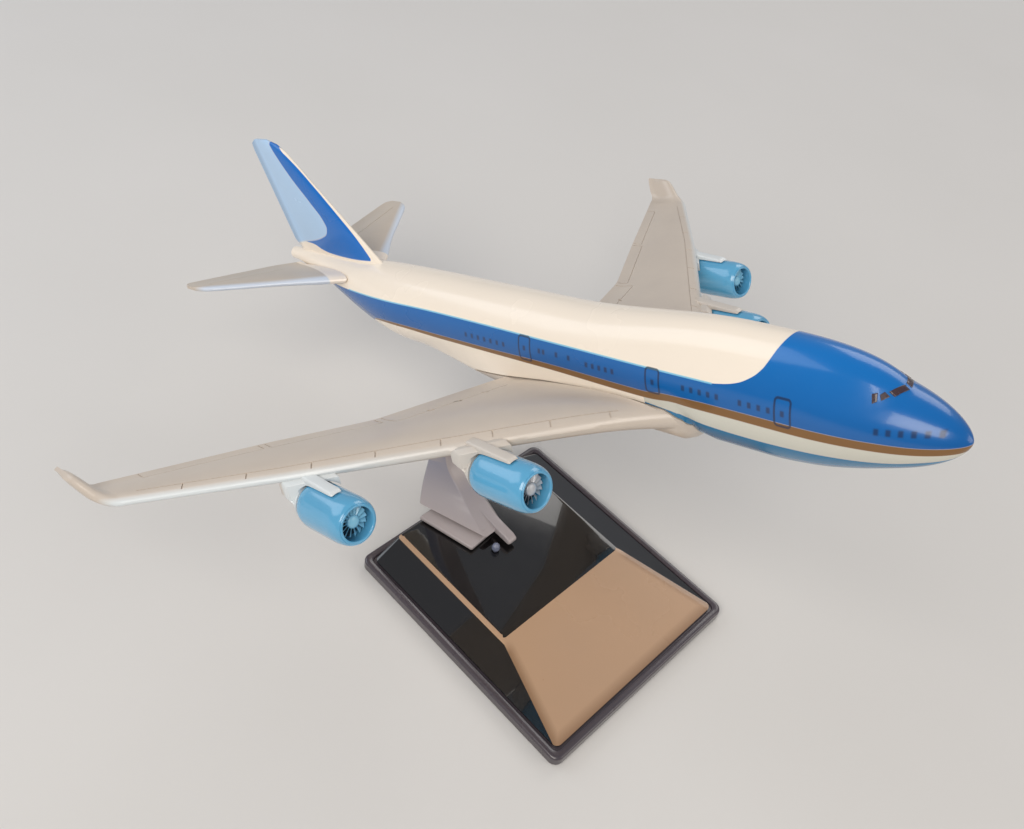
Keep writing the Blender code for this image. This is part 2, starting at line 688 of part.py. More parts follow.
def stand_arm(mat):
    """Curved arm with a spread foot, a tongue for the base's slot and a peg for the belly."""
    steps = 18
    last = len(ARM_RIBS) - 1
    obj = loft("stand_arm", [arm_rib(last * k / steps) for k in range(steps + 1)])
    above = hull("above", AIR_GAP, 48)
    above.data.transform(TO_STAND)
    combine(obj, above, "DIFFERENCE")
    outline = [(-27.0, 2.6), (-16.0, 0.2), (-15.0, -4.0), (-27.0, -6.0)]
    combine(obj, foot_plate("neck", outline, 5.8, 7.6), "UNION")
    low = (BASE_TOP + GAP) / MM
    outline = [(-26.6, 4.4), (-14.6, 0.8), (-13.8, -8.0), (-26.6, -11.2)]
    combine(obj, foot_plate("foot", outline, low, low + 1.1), "UNION")
    outline = [(-23.0, 6.0), (-23.0, 9.0), (-14.0, 7.9), (-10.6, 7.6), (-9.7, 7.1), (-9.5, 6.5), (-9.9, 6.0)]
    toe = prism("toe", outline, -1.6, 0.6)
    toe.data.transform(Matrix.Scale(MM, 4))
    combine(obj, toe, "UNION")
    x, long, wide = TONGUE
    tongue = box("tongue", (x - long / 2, -wide / 2, 2.9 * MM), (x + long / 2, wide / 2, 7.0 * MM))
    combine(obj, tongue, "UNION")
    peg = peg_box("peg", 0.0)
    peg.data.transform(TO_STAND)
    combine(obj, peg, "UNION")
    return finish(obj, mat, angle=40.0)


def stand_pin(mat):
    """Round-headed pin pressed into the base in front of the arm's foot."""
    x, y = PIN_PLACE
    profile = [(PIN_BOTTOM, 0.35), (BASE_TOP / MM + 0.3, 0.35), (BASE_TOP / MM + 0.3, 0.72)]
    profile += [(BASE_TOP / MM + z, r) for z, r in ((0.9, 0.9), (1.6, 0.7), (2.0, 0.3))]
    rings = []
    for z, radius in profile:
        angles = [2 * math.pi * k / 12 for k in range(12)]
        circle = [(radius * math.cos(a), radius * math.sin(a)) for a in angles]
        rings.append([Vector((x + cx, y + cy, z)) * MM for cx, cy in circle])
    return finish(loft("stand_pin", rings), mat, angle=50.0)


def build():
    clear_scene()
    white = material("white_enamel", (0.83, 0.81, 0.77), 0.28, coat=0.5)
    grey = material("wing_grey", (0.62, 0.59, 0.55), 0.4)
    blue = material("nacelle_blue", (0.2, 0.5, 0.72), 0.3, coat=0.3)
    silver = material("fan_silver", (0.6, 0.6, 0.62), 0.35, metallic=0.9)
    arm = material("arm_plastic", (0.42, 0.41, 0.45), 0.35)
    black = material("base_black", (0.012, 0.012, 0.014), 0.08, coat=1.0)
    rim = material("plinth_black", (0.02, 0.02, 0.022), 0.25)
    steel = material("plain_steel", (0.55, 0.55, 0.56), 0.4, metallic=1.0)
    foam = material("pad_rubber", (0.03, 0.03, 0.03), 0.9)
    fuselage_casting(white)
    wing_casting(grey)
    for label, side in (("starboard", -1), ("port", 1)):
        tailplane(f"tailplane_{label}", side, grey)
        for where, engine in (("inner", INNER_ENGINE), ("outer", OUTER_ENGINE)):
            nacelle(f"nacelle_{where}_{label}", engine, side, blue)
            fan(f"fan_{where}_{label}", engine, side, silver)
    for label, station in zip(("front", "rear"), SCREW_STATIONS):
        belly_screw(f"belly_screw_{label}", station, steel)
    stand_arm(arm)
    base_plinth(rim)
    base_cover(black)
    stand_pin(arm)
    edge = 1.6 * MM + GAP
    flat_plate("base_pad", -BASE_X + edge, BASE_X - edge, BASE_Y - edge, 0.0, PAD_T, 1.0 * MM, foam)
    inside = 5.0 * MM + GAP
    low = PAD_T + GAP
    half = BASE_Y - inside - 2 * MM
    flat_plate("base_ballast", -12 * MM, BASE_X - inside, half, low, low + 1.2 * MM, 1.0 * MM, steel)


build()
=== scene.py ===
import math
from functools import reduce

import bmesh
import bpy
from mathutils import Matrix, Vector
from mathutils.bvhtree import BVHTree


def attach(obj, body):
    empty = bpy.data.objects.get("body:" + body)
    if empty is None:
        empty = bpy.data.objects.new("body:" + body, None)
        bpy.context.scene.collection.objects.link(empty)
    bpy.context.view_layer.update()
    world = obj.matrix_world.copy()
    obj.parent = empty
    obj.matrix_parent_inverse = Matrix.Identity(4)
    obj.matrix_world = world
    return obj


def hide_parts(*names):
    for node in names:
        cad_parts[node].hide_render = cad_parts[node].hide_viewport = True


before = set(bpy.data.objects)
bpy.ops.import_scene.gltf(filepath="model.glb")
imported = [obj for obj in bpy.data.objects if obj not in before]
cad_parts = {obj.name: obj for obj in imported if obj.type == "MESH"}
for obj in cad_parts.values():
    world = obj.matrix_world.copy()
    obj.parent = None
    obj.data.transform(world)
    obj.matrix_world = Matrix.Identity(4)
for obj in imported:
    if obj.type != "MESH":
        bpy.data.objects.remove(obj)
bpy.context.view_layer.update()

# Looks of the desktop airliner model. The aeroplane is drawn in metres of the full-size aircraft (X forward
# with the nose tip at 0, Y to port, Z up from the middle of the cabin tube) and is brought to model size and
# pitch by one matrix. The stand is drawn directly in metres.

MM = 0.001
GAP = 0.3 * MM

# The aeroplane in the stand's frame.
SCALE = 1 / 441.7
PITCH = math.radians(26.6)
PIVOT_STATION = 33.0
PIVOT = Vector((-10.35, 0.0, 63.6)) * MM
TO_STAND = (
    Matrix.Translation(PIVOT)
    @ Matrix.Rotation(-PITCH, 4, "Y")
    @ Matrix.Scale(SCALE, 4)
    @ Matrix.Translation((PIVOT_STATION, 0.0, 0.0))
)
AIR_GAP = GAP / SCALE

# Fuselage, in full-size metres.
TUBE_R = 3.25
NOSE_LENGTH = 10.0
NOSE_DROOP = 0.2
WINDSCREEN_AFT = 3.4
HUMP_TOP = 4.4
HUMP_R = 2.4
HUMP_END = (15.0, 31.0)
HUMP_START = (2.2, 1.3)
HUMP_RUN = (2.6, 3.0)
TAIL_START = 46.0
LENGTH = 69.2
TAIL_TOP = 3.0
TAIL_BOTTOM = 1.9
TAIL_RISE = (48.8, 70.4)
CHIN_DEPTH = 0.81
CHIN_FRONT = (3.5, 12.5)
CHIN_SWELL = 0.1
BELLY_BOTTOM = -4.4
BELLY_FRONT = (16.5, 19.5)
BELLY_REAR = (36.5, 49.5)
BELLY_START_Z = -2.8
BELLY_OFFSET = 1.2
BELLY_CORNER = (1.2, 0.45)
HULL_POINTS = 96
NOSE_SHAPE = (2.2, 0.62)
NOSE_RINGS = 40
TUBE_PITCH = 0.72
TAIL_RINGS = 36
TAIL_ROUND = 0.25

# Line of the joint between the fuselage casting and the wing casting, aft distance and height.
SEAM = [(17.8, -3.9), (18.0, -2.5), (20.1, -1.65), (22.6, -1.55)]
SEAM += [(27.8, -1.78), (32.0, -2.2), (36.3, -2.85), (40.4, -3.3)]
BELOW_BELLY = -6.5
SEAM_HALF_Y = 7.0

# Wing: places along the span, then edges as x at the root and sweep inside and outside the kink.
WING_INNER_Y = 1.2
WING_ROOT_Y = 3.2
WING_ROOT_Z = -2.35
WING_TIP_Y = 30.2
WING_TIP_Z = -1.05
WING_LE_X = -20.9
WING_TE_X = -36.3
WING_LE_SWEEP = (0.845, 0.92)
WING_TE_SWEEP = (0.268, 0.59)
WING_KINK_Y = (22.0, 13.5)
WING_THICK = (1.5, 0.82)
WING_RIBS = 48
GLOVE = (2.2, 2.4, 1.5)
ROOT_DROP = 0.5
EDGE_BLUNT = 0.3
FOIL_POINTS = 18
BEND_R = 1.3
BEND_ANGLE = math.radians(63.0)
BEND_STEPS = 14
BEND_BACK = (1.9, 0.8)
BEND_THICK = 0.8
WINGLET_LENGTH = 1.45
# Winglet ribs: part of the length, leading and trailing edge's way back, thickness.
WINGLET_RIBS = ((0.6, 2.7, 1.2, 0.72), (0.9, 3.2, 1.35, 0.62), (1.0, 3.7, 1.3, 0.36))

# Engines: span station, aft distance of the inlet lip and height of the axis.
INNER_ENGINE = (12.45, 23.15, -3.6)
OUTER_ENGINE = (21.06, 31.1, -3.65)
NACELLE_LENGTH = 5.15
NACELLE_R = 1.66
INLET_R = 1.16
FAN_R = 1.1
FAN_HUB_R = 0.45
FAN_DEPTH = 0.6
FAN_WIDTH = 0.34
FAN_DOME = 0.16
BLADE_ROOT_R = 0.38
BLADE_PITCH = (28.0, 26.0)
BLADE_RIBS = 7
BLADE_SECTION = ((-0.5, 0.0), (-0.2, 0.5), (0.3, 0.4), (0.5, 0.0), (0.3, -0.4), (-0.2, -0.5))
BLADES = 16
WEB_BACK = 4.6
WEB_HALF = 1.4
WEB_SWEEP = 0.8
RIDGE_HALF = 0.42
AXLE_R = 0.22
AXLE_CLEARANCE = AIR_GAP
AXLE_LENGTH = 1.1
DUCT_BEHIND_FAN = 0.35
AXLE_POINT_R = 0.02
LIP_R = 1.36
LIP_HALF = 0.1
NACELLE_SEGMENTS = 72
# Outer line of a nacelle: distance behind the lip and radius.
NACELLE_LINE = [(0.0, 1.28), (0.06, 1.4), (0.3, 1.53), (0.8, 1.63), (1.5, NACELLE_R), (3.9, NACELLE_R)]
NACELLE_LINE += [(4.55, 1.63), (4.95, 1.54), (NACELLE_LENGTH, 1.38)]

# Fin: x of each edge and its slope, both from FIN_EDGE_Z. Ribs: z, the two edges' way inwards, thickness.
FIN_EDGE_Z = 4.0
FIN_LE = (-55.2, 1.2)
FIN_TE = (-68.1, 0.36)
FIN_RIBS = [(2.4, 0.0, 1.2, 1.1), (4.0, 0.0, 0.0, 1.1), (7.2, 0.0, 0.0, 0.95), (10.4, 0.0, 0.0, 0.8)]
FIN_RIBS += [(12.8, 0.0, 0.0, 0.66), (13.5, 0.45, 0.15, 0.56), (13.9, 1.6, 0.9, 0.34)]

# Tailplane ribs: y, leading edge, trailing edge, thickness.
STAB_SPAN = 11.9
STAB_Z = 1.6
STAB_DIHEDRAL = 0.168
STAB_RIBS = [(0.4, -55.9, -67.3, 1.2), (3.0, -57.9, -68.2, 1.1), (6.0, -60.9, -68.5, 0.85)]
STAB_RIBS += [(9.0, -63.4, -68.8, 0.68), (10.8, -64.9, -68.95, 0.58), (11.5, -65.7, -68.85, 0.5)]
STAB_RIBS += [(STAB_SPAN, -66.7, -68.3, 0.32)]
STAB_HINGE = (-65.3, 0.16, 3.4)

# Peg of the arm in the belly, and belly screws.
PEG_STATION = 37.0
PEG_SIZE = (1.9, 1.1, 1.9)
SCREW_STATIONS = (24.5, 33.0)
SCREW_HEAD_R = 0.8
SCREW_SHANK_R = 0.36
SCREW_PLAY = 0.14

# Base.
BASE_X = 28.05 * MM
BASE_Y = 24.85 * MM
PLINTH_TOP = 2.4 * MM
PAD_T = 0.7 * MM
RIM_BOTTOM = 0.4 * MM
BASE_TOP = 5.0 * MM
TOP_REAR = -26.2 * MM
TOP_FRONT = 4.45 * MM
TOP_HALF = 16.5 * MM
COVER_INSET = 1.9 * MM
COVER_WALL = 1.3 * MM
CORNER_STEPS = 8

# Arm foot: the tongue's middle, length and width, and the pin's place in millimetres.
TONGUE = (-20.0 * MM, 7.0 * MM, 2.4 * MM)
PIN_PLACE = (-11.1, -3.8)
PIN_HOLE_R = 0.65

# ---------------------------------------------------------------- geometry

def placed(name, data):
    """A new object in the scene."""
    obj = bpy.data.objects.new(name, data)
    bpy.context.scene.collection.objects.link(obj)
    return obj


def rework(mesh, operation):
    """Runs a bmesh operation over all faces."""
    bm = bmesh.new()
    bm.from_mesh(mesh)
    operation(bm, faces=bm.faces)
    bm.to_mesh(mesh)
    bm.free()


def mesh_object(name, points, faces):
    mesh = bpy.data.meshes.new(name)
    mesh.from_pydata([tuple(p) for p in points], [], faces)
    rework(mesh, bmesh.ops.recalc_face_normals)
    return placed(name, mesh)


def circle(segments, shift=0.0):
    """Cosine and sine of equal steps round a circle."""
    angles = [2 * math.pi * (k + shift) / segments for k in range(segments)]
    return [(math.cos(a), math.sin(a)) for a in angles]


def side_faces(rings, closed=False):
    """Quads between each ring and the next and, if closed, from the last back to the first."""
    count = len(rings[0])
    faces = []
    for i in range(len(rings) if closed else len(rings) - 1):
        n = (i + 1) % len(rings)
        for k in range(count):
            j = (k + 1) % count
            faces.append((i * count + k, i * count + j, n * count + j, n * count + k))
    return faces


def loft(name, rings):
    """A closed skin over rings of equal point count, capped at both ends."""
    points = [p for ring in rings for p in ring]
    count = len(rings[0])
    caps = [tuple(range(count)), tuple(range(len(points) - count, len(points)))]
    return mesh_object(name, points, caps + side_faces(rings))


def triangulated(obj):
    """Splits twisted faces, so that a Boolean reads them as flat."""
    rework(obj.data, bmesh.ops.triangulate)
    return obj


def prism(name, outline, low, high):
    """An outline of (x, z) points drawn out along Y."""
    rings = [[Vector((x, y, z)) for x, z in outline] for y in (low, high)]
    return loft(name, rings)


def box(name, low, high):
    outline = [(low[0], low[2]), (high[0], low[2]), (high[0], high[2]), (low[0], high[2])]
    return prism(name, outline, low[1], high[1])


def turned(name, profile, segments, center):
    """A solid of revolution about X from (x, radius) points that run from axis to axis."""
    rings = [[center + Vector((x, r * c, r * s)) for c, s in circle(segments)] for x, r in profile]
    return loft(name, rings)


def applied(obj):
    """Turns an object's modifiers into mesh."""
    graph = bpy.context.evaluated_depsgraph_get()
    mesh = bpy.data.meshes.new_from_object(obj.evaluated_get(graph))
    obj.modifiers.clear()
    obj.data = mesh
    return obj


def combine(obj, other, operation):
    """Applies an exact Boolean and removes the other object."""
    modifier = obj.modifiers.new(operation, "BOOLEAN")
    modifier.operation = operation
    modifier.solver = "EXACT"
    modifier.object = other
    applied(obj)
    bpy.data.objects.remove(other, do_unlink=True)
    return obj


def smoothstep(value, low, high):
    t = min(max((value - low) / (high - low), 0.0), 1.0)
    return t * t * (3 - 2 * t)


def hull_lobes(aft):
    """Circles (offset to either side, height of centre, radius) whose common outline is the section."""
    nose = min(aft / NOSE_LENGTH, 1.0)
    radius = TUBE_R * (1 - (1 - nose) ** NOSE_SHAPE[0]) ** NOSE_SHAPE[1]
    center = -NOSE_DROOP * (1 - nose)
    tail = max(aft - TAIL_START, 0.0) / (LENGTH - TAIL_START)
    if tail > 0:
        top = TUBE_R - (TUBE_R - TAIL_TOP) * tail**1.5
        bottom = -TUBE_R + (TUBE_R + TAIL_BOTTOM) * smoothstep(aft, *TAIL_RISE)
        radius = (top - bottom) / 2
        center = (top + bottom) / 2
    lobes = [(0.0, center, radius)]
    chin = smoothstep(aft, *CHIN_FRONT) * (1 - smoothstep(aft, *BELLY_FRONT))
    if chin > 0:
        lobes.append((0.0, center - CHIN_DEPTH * chin, radius + CHIN_SWELL * chin))
    behind = aft - WINDSCREEN_AFT
    if behind > 0 and aft < HUMP_END[1]:
        fall = smoothstep(aft, *HUMP_END)
        top, upper = (
            start + (full - start) * (1 - math.exp(-behind / run))
            for start, full, run in zip(HUMP_START, (HUMP_TOP, HUMP_R), HUMP_RUN)
        )
        top += (TUBE_R - top) * fall
        upper += (TUBE_R - upper) * fall
        lobes.append((0.0, top - upper, upper))
    bulge = smoothstep(aft, *BELLY_FRONT) * (1 - smoothstep(aft, *BELLY_REAR))
    if bulge > 0:
        corner = BELLY_CORNER[0] + BELLY_CORNER[1] * bulge
        bottom = BELLY_START_Z + (BELLY_BOTTOM - BELLY_START_Z) * bulge
        lobes.append((BELLY_OFFSET, bottom + corner, corner))
    return lobes


def hull_ring(aft, grow=0.0):
    """Points of the section, one for each outward direction, which keeps the rings in step."""
    ring = []
    lobes = hull_lobes(aft)
    for across, up in circle(HULL_POINTS, 0.5):
        offset, center, radius = max(lobes, key=lambda lobe: lobe[0] * abs(across) + lobe[1] * up + lobe[2])
        radius = max(radius + grow, 0.02)
        ring.append(Vector((-aft, math.copysign(offset, across) + radius * across, center + radius * up)))
    return ring


def hull_stations():
    nose = [0.012 + NOSE_LENGTH * (k / NOSE_RINGS) ** 1.75 for k in range(NOSE_RINGS + 1)]
    middle = [NOSE_LENGTH + TUBE_PITCH * k for k in range(1, 50)]
    tail = [TAIL_START + (LENGTH - TAIL_START) * k / TAIL_RINGS for k in range(TAIL_RINGS)]
    return nose + middle + tail + [LENGTH - TAIL_ROUND]


def hull(name, grow=0.0):
    rings = [hull_ring(aft, grow) for aft in hull_stations()]
    return loft(name, rings + [hull_ring(LENGTH, grow - TAIL_ROUND)])


def below_seam(name, grow):
    """Everything under the joint line, as a block across the aircraft."""
    start, last = SEAM[0], SEAM[-1]
    outline = [(-start[0] + grow, BELOW_BELLY), (-start[0] + grow, start[1] + grow)]
    outline += [(-aft + grow, z + grow) for aft, z in SEAM[1:3]]
    outline += [(-aft, z + grow) for aft, z in SEAM[3:-1]]
    outline += [(-last[0] - grow, last[1] + grow), (-last[0] - grow, BELOW_BELLY)]
    return prism(name, outline, -SEAM_HALF_Y, SEAM_HALF_Y)


def foil(le, te, thick):
    """(x, half thickness) round a wing section from the rear over the top, by the four-digit formula."""
    stations = [0.5 * (1 + math.cos(math.pi * k / FOIL_POINTS)) for k in range(FOIL_POINTS + 1)]
    section = []
    for sign, order in ((1, stations), (-1, stations[-2:0:-1])):
        for s in order:
            body = 2.969 * math.sqrt(s) - 1.26 * s - 3.516 * s**2 + 2.843 * s**3 - 1.036 * s**4
            half = max(0.5 * thick * body, 0.5 * EDGE_BLUNT * min(1.0, s * 12))
            section.append((le + (te - le) * s, sign * half))
    section.append((te, -0.5 * EDGE_BLUNT))
    return section


def wing_section(y, z, le, te, thick, roll, side, te_drop=0.0):
    """One wing rib: its thickness direction is rolled up towards the tip."""
    ring = []
    for x, half in foil(le, te, thick):
        drop = te_drop * (x - le) / (te - le)
        across = side * (y - half * math.sin(roll))
        ring.append(Vector((x, across, z - drop + half * math.cos(roll))))
    return ring


def wing_edges(y):
    """Leading and trailing edge of the flat part of the wing."""
    deep, start, run = GLOVE
    edges = []
    for root, sweep, kink in zip((WING_LE_X, WING_TE_X), (WING_LE_SWEEP, WING_TE_SWEEP), WING_KINK_Y):
        edges.append(root - sweep[0] * (min(y, kink) - WING_ROOT_Y) - sweep[1] * max(y - kink, 0.0))
    return edges[0] + deep * math.exp(-(y - start) / run), edges[1]


def wing(side):
    """Main panel, bend and winglet in one loft."""
    rings = []
    for k in range(WING_RIBS + 1):
        y = WING_INNER_Y + (WING_TIP_Y - WING_INNER_Y) * (k / WING_RIBS)
        out = (y - WING_ROOT_Y) / (WING_TIP_Y - WING_ROOT_Y)
        z = WING_ROOT_Z + (WING_TIP_Z - WING_ROOT_Z) * out
        thick = WING_THICK[0] * (1 - out) ** 1.3 + WING_THICK[1]
        drop = ROOT_DROP * max(1 - out * 1.6, 0.0)
        rings.append(wing_section(y, z, *wing_edges(y), thick, 0.0, side, drop))
    le, te = wing_edges(WING_TIP_Y)
    for k in range(1, BEND_STEPS + 1):
        roll = BEND_ANGLE * k / BEND_STEPS
        y = WING_TIP_Y + BEND_R * math.sin(roll)
        z = WING_TIP_Z + BEND_R * (1 - math.cos(roll))
        back = (k / BEND_STEPS) ** 1.3
        edges = (le - BEND_BACK[0] * back, te - BEND_BACK[1] * back)
        rings.append(wing_section(y, z, *edges, BEND_THICK, roll, side))
    for along, le_back, te_back, thick in WINGLET_RIBS:
        reach = WINGLET_LENGTH * along
        tip_y = y + reach * math.cos(BEND_ANGLE)
        tip_z = z + reach * math.sin(BEND_ANGLE)
        rings.append(wing_section(tip_y, tip_z, le - le_back, te - te_back, thick, BEND_ANGLE, side))
    return loft("wing", rings)


def nacelle_space(engine, side):
    """The nacelle's outline grown by the gap, which the wing casting is cut back from."""
    span, lip, axis_z = engine
    behind = NACELLE_LENGTH + AIR_GAP
    line = [(AIR_GAP, 0.05)]
    line += [(-x, r + AIR_GAP) for x, r in NACELLE_LINE[:-1]]
    line += [(-behind, 1.6), (-behind, 0.05)]
    return turned("space", line, NACELLE_SEGMENTS, Vector((-lip, side * span, axis_z)))


def peg_box(name, grow):
    """The arm's peg, or with grow the pocket it stands in."""
    along, across, tall = PEG_SIZE
    top = BELLY_BOTTOM + tall + grow
    low = (-PEG_STATION - along / 2 - grow, -across / 2 - grow, BELOW_BELLY + 0.6)
    return box(name, low, (-PEG_STATION + along / 2 + grow, across / 2 + grow, top))


def fin():
    """Fin with a rounded tip, its root sunk in the fuselage."""
    rings = []
    for z, le_back, te_ahead, thick in FIN_RIBS:
        up = z - FIN_EDGE_Z
        le = FIN_LE[0] - FIN_LE[1] * up - le_back
        te = FIN_TE[0] - FIN_TE[1] * up + te_ahead
        rings.append([Vector((x, half, z)) for x, half in foil(le, te, thick)])
    return loft("fin", rings)


def rounded_rectangle(x_low, x_high, half_y, z, radius):
    """Corner arcs joined by straight sides, always with the same point count."""
    points = []
    for quarter, (cx, cy) in enumerate(
        (
            (x_high - radius, half_y - radius),
            (x_low + radius, half_y - radius),
            (x_low + radius, -half_y + radius),
            (x_high - radius, -half_y + radius),
        )
    ):
        for k in range(CORNER_STEPS + 1):
            angle = math.pi / 2 * (quarter + k / CORNER_STEPS)
            points.append(Vector((cx + radius * math.cos(angle), cy + radius * math.sin(angle), z)))
    return points


def ring_band(name, rings):
    """A frame-shaped solid: the last ring joins back to the first."""
    return mesh_object(name, [p for ring in rings for p in ring], side_faces(rings, closed=True))


# Arm ribs from foot to belly in millimetres: (x, z) of the rear and the front edge, then the sides
# (starboard y, port y) of each. The foot spreads further to starboard.
ARM_RIBS = [
    ((-29.2, 7.2), (-13.6, 7.2), (-9.4, 4.2), (-4.8, 0.7)),
    ((-31.2, 9.8), (-22.2, 9.4), (-7.2, 3.6), (-3.1, 1.4)),
    ((-32.8, 13.8), (-28.2, 13.6), (-4.7, 3.3), (-2.8, 2.0)),
    ((-33.2, 19.4), (-29.4, 19.8), (-3.6, 3.2), (-2.5, 2.2)),
    ((-31.2, 27.6), (-26.6, 28.0), (-3.0, 3.0), (-2.3, 2.3)),
    ((-26.2, 36.0), (-20.8, 35.2), (-2.6, 2.6), (-2.2, 2.2)),
    ((-20.8, 43.4), (-14.6, 42.2), (-2.4, 2.4), (-2.2, 2.2)),
    ((-17.6, 50.2), (-9.6, 54.0), (-2.4, 2.4), (-2.2, 2.2)),
]
RIB_ROUNDING = 0.8
RIB_STEPS = 7


def spline(values, t):
    """Catmull-Rom value at position t along the list."""
    i = min(int(t), len(values) - 2)
    u = t - i
    p0, p1 = values[max(i - 1, 0)], values[i]
    p2, p3 = values[i + 1], values[min(i + 2, len(values) - 1)]
    line = 2 * p1 + (p2 - p0) * u + (2 * p0 - 5 * p1 + 4 * p2 - p3) * u**2
    return 0.5 * (line + (3 * p1 - p0 - 3 * p2 + p3) * u**3)


def arm_rib(t):
    """One rounded rib of the arm."""
    flat = [[value for pair in rib for value in pair] for rib in ARM_RIBS]
    rx, rz, fx, fz, *sides = (spline(column, t) for column in zip(*flat))
    length = math.hypot(fx - rx, fz - rz)
    ring = []
    for quarter, (end, port) in enumerate(((1, 1), (0, 1), (0, 0), (1, 0))):
        edge = sides[2 * end + port] + (-RIB_ROUNDING if port else RIB_ROUNDING)
        middle = RIB_ROUNDING / length if end == 0 else 1 - RIB_ROUNDING / length
        for k in range(RIB_STEPS):
            angle = math.pi / 2 * (quarter + k / (RIB_STEPS - 1))
            u = middle + RIB_ROUNDING / length * math.cos(angle)
            across = edge + RIB_ROUNDING * math.sin(angle)
            ring.append(Vector((rx + (fx - rx) * u, across, rz + (fz - rz) * u)) * MM)
    return ring


def foot_plate(name, outline, low, high):
    """A plate of (x, y) corners, in millimetres."""
    return loft(name, [[Vector((x, y, z)) * MM for x, y in outline] for z in (low, high)])


def tongue_box(name, grow, low, high):
    """The arm's tongue, or with grow the slot it stands in."""
    x, long, wide = TONGUE
    corner = (x - long / 2 - grow, -wide / 2 - grow, low)
    return box(name, corner, (x + long / 2 + grow, wide / 2 + grow, high))


def upright_cylinder(name, station, radius, low, high, segments):
    rings = []
    for z in (low, high):
        rings.append([Vector((-station + radius * c, radius * s, z)) for c, s in circle(segments, 0.3)])
    return loft(name, rings)


# ---------------------------------------------------------------- shaders


class Graph:
    """Short ways to wire one material's nodes. A value is a number, a colour or a node's socket."""

    def __init__(self, name):
        self.material = bpy.data.materials.new(name)
        self.material.use_nodes = True
        self.tree = self.material.node_tree
        self.shader = self.tree.nodes["Principled BSDF"]

    def put(self, socket, value):
        if isinstance(value, bpy.types.NodeSocket):
            self.tree.links.new(value, socket)
        elif isinstance(value, tuple) and len(value) == 3 and len(socket.default_value) == 4:
            socket.default_value = (*value, 1.0)
        else:
            socket.default_value = value

    def add(self, kind, *values, **settings):
        """A node with its inputs filled in order."""
        node = self.tree.nodes.new(kind)
        for key, value in settings.items():
            setattr(node, key, value)
        for socket, value in zip(node.inputs, values):
            if value is not None:
                self.put(socket, value)
        return node

    def math(self, operation, *values):
        return self.add("ShaderNodeMath", *values, operation=operation).outputs[0]

    def mix(self, factor, first, second):
        node = self.add("ShaderNodeMix", data_type="RGBA")
        # The colour inputs and output of a Mix node come after its number and vector ones.
        for slot, value in ((0, factor), (6, first), (7, second)):
            self.put(node.inputs[slot], value)
        return node.outputs[2]

    def noise(self, place, scale, detail=3.0, roughness=0.5):
        node = self.add("ShaderNodeTexNoise")
        for key, value in (("Vector", place), ("Scale", scale), ("Detail", detail), ("Roughness", roughness)):
            self.put(node.inputs[key], value)
        return node.outputs["Fac"]

    def spread(self, value, low, high, to_low, to_high):
        node = self.add("ShaderNodeMapRange", value, low, high, to_low, to_high, clamp=True)
        return node.outputs[0]

    def minus(self, first, second):
        return self.math("SUBTRACT", first, second)

    def plus(self, first, second):
        return self.math("ADD", first, second)

    def times(self, first, second):
        return self.math("MULTIPLY", first, second)

    def inverse(self, value):
        return self.minus(1.0, value)

    def above(self, value, limit=0.0, soft=0.03):
        """1 where value is over limit, with a short soft edge."""
        return self.spread(self.minus(value, limit), -soft, soft, 0.0, 1.0)

    def below(self, value, limit=0.0, soft=0.03):
        return self.inverse(self.above(value, limit, soft))

    def between(self, value, low, high, soft=0.03):
        return self.times(self.above(value, low, soft), self.below(value, high, soft))

    def both(self, *values):
        return reduce(self.times, values)

    def either(self, *values):
        return reduce(lambda first, second: self.math("MAXIMUM", first, second), values)

    def split(self, vector):
        """The x, y and z of a vector."""
        return self.add("ShaderNodeSeparateXYZ", vector).outputs

    def curve(self, value, points, low, high):
        """A line through (input, output) points."""
        first, last = points[0][0], points[-1][0]
        node = self.add("ShaderNodeFloatCurve", 1.0, self.spread(value, first, last, 0.0, 1.0))
        line = node.mapping.curves[0]
        scaled = [((p - first) / (last - first), (q - low) / (high - low)) for p, q in points]
        line.points[0].location = scaled[0]
        line.points[1].location = scaled[-1]
        for place in scaled[1:-1]:
            line.points.new(*place)
        for point in line.points:
            point.handle_type = "AUTO_CLAMPED"
        node.mapping.update()
        return self.spread(node.outputs[0], 0.0, 1.0, low, high)

    def object_place(self):
        return self.add("ShaderNodeTexCoord").outputs["Object"]

    def aircraft(self):
        """x, distance from the middle plane and z on the full-size aircraft, then its whole vector."""
        back = TO_STAND.inverted()
        mapping = self.add("ShaderNodeMapping", vector_type="POINT")
        self.put(mapping.inputs["Vector"], self.object_place())
        mapping.inputs["Location"].default_value = back.to_translation()
        mapping.inputs["Rotation"].default_value = back.to_euler()
        mapping.inputs["Scale"].default_value = back.to_scale()
        x, y, z = self.split(mapping.outputs[0])
        return x, self.math("ABSOLUTE", y), z, mapping.outputs[0]

    def bump(self, height, distance, strength=1.0, under=None):
        node = self.add("ShaderNodeBump")
        node.inputs["Strength"].default_value = strength
        node.inputs["Distance"].default_value = distance
        self.put(node.inputs["Height"], height)
        if under:
            self.put(node.inputs["Normal"], under)
        return node.outputs[0]

    def finish(self, color, roughness, normal=None, **settings):
        self.put(self.shader.inputs["Base Color"], color)
        self.put(self.shader.inputs["Roughness"], roughness)
        if normal:
            self.put(self.shader.inputs["Normal"], normal)
        for key, value in settings.items():
            self.shader.inputs[key.replace("_", " ")].default_value = value
        return self.material


def color(red, green, blue):
    """sRGB values from 0 to 255 as linear light."""
    return tuple(
        ((v / 255 + 0.055) / 1.055) ** 2.4 if v > 10 else v / 255 / 12.92 for v in (red, green, blue)
    )


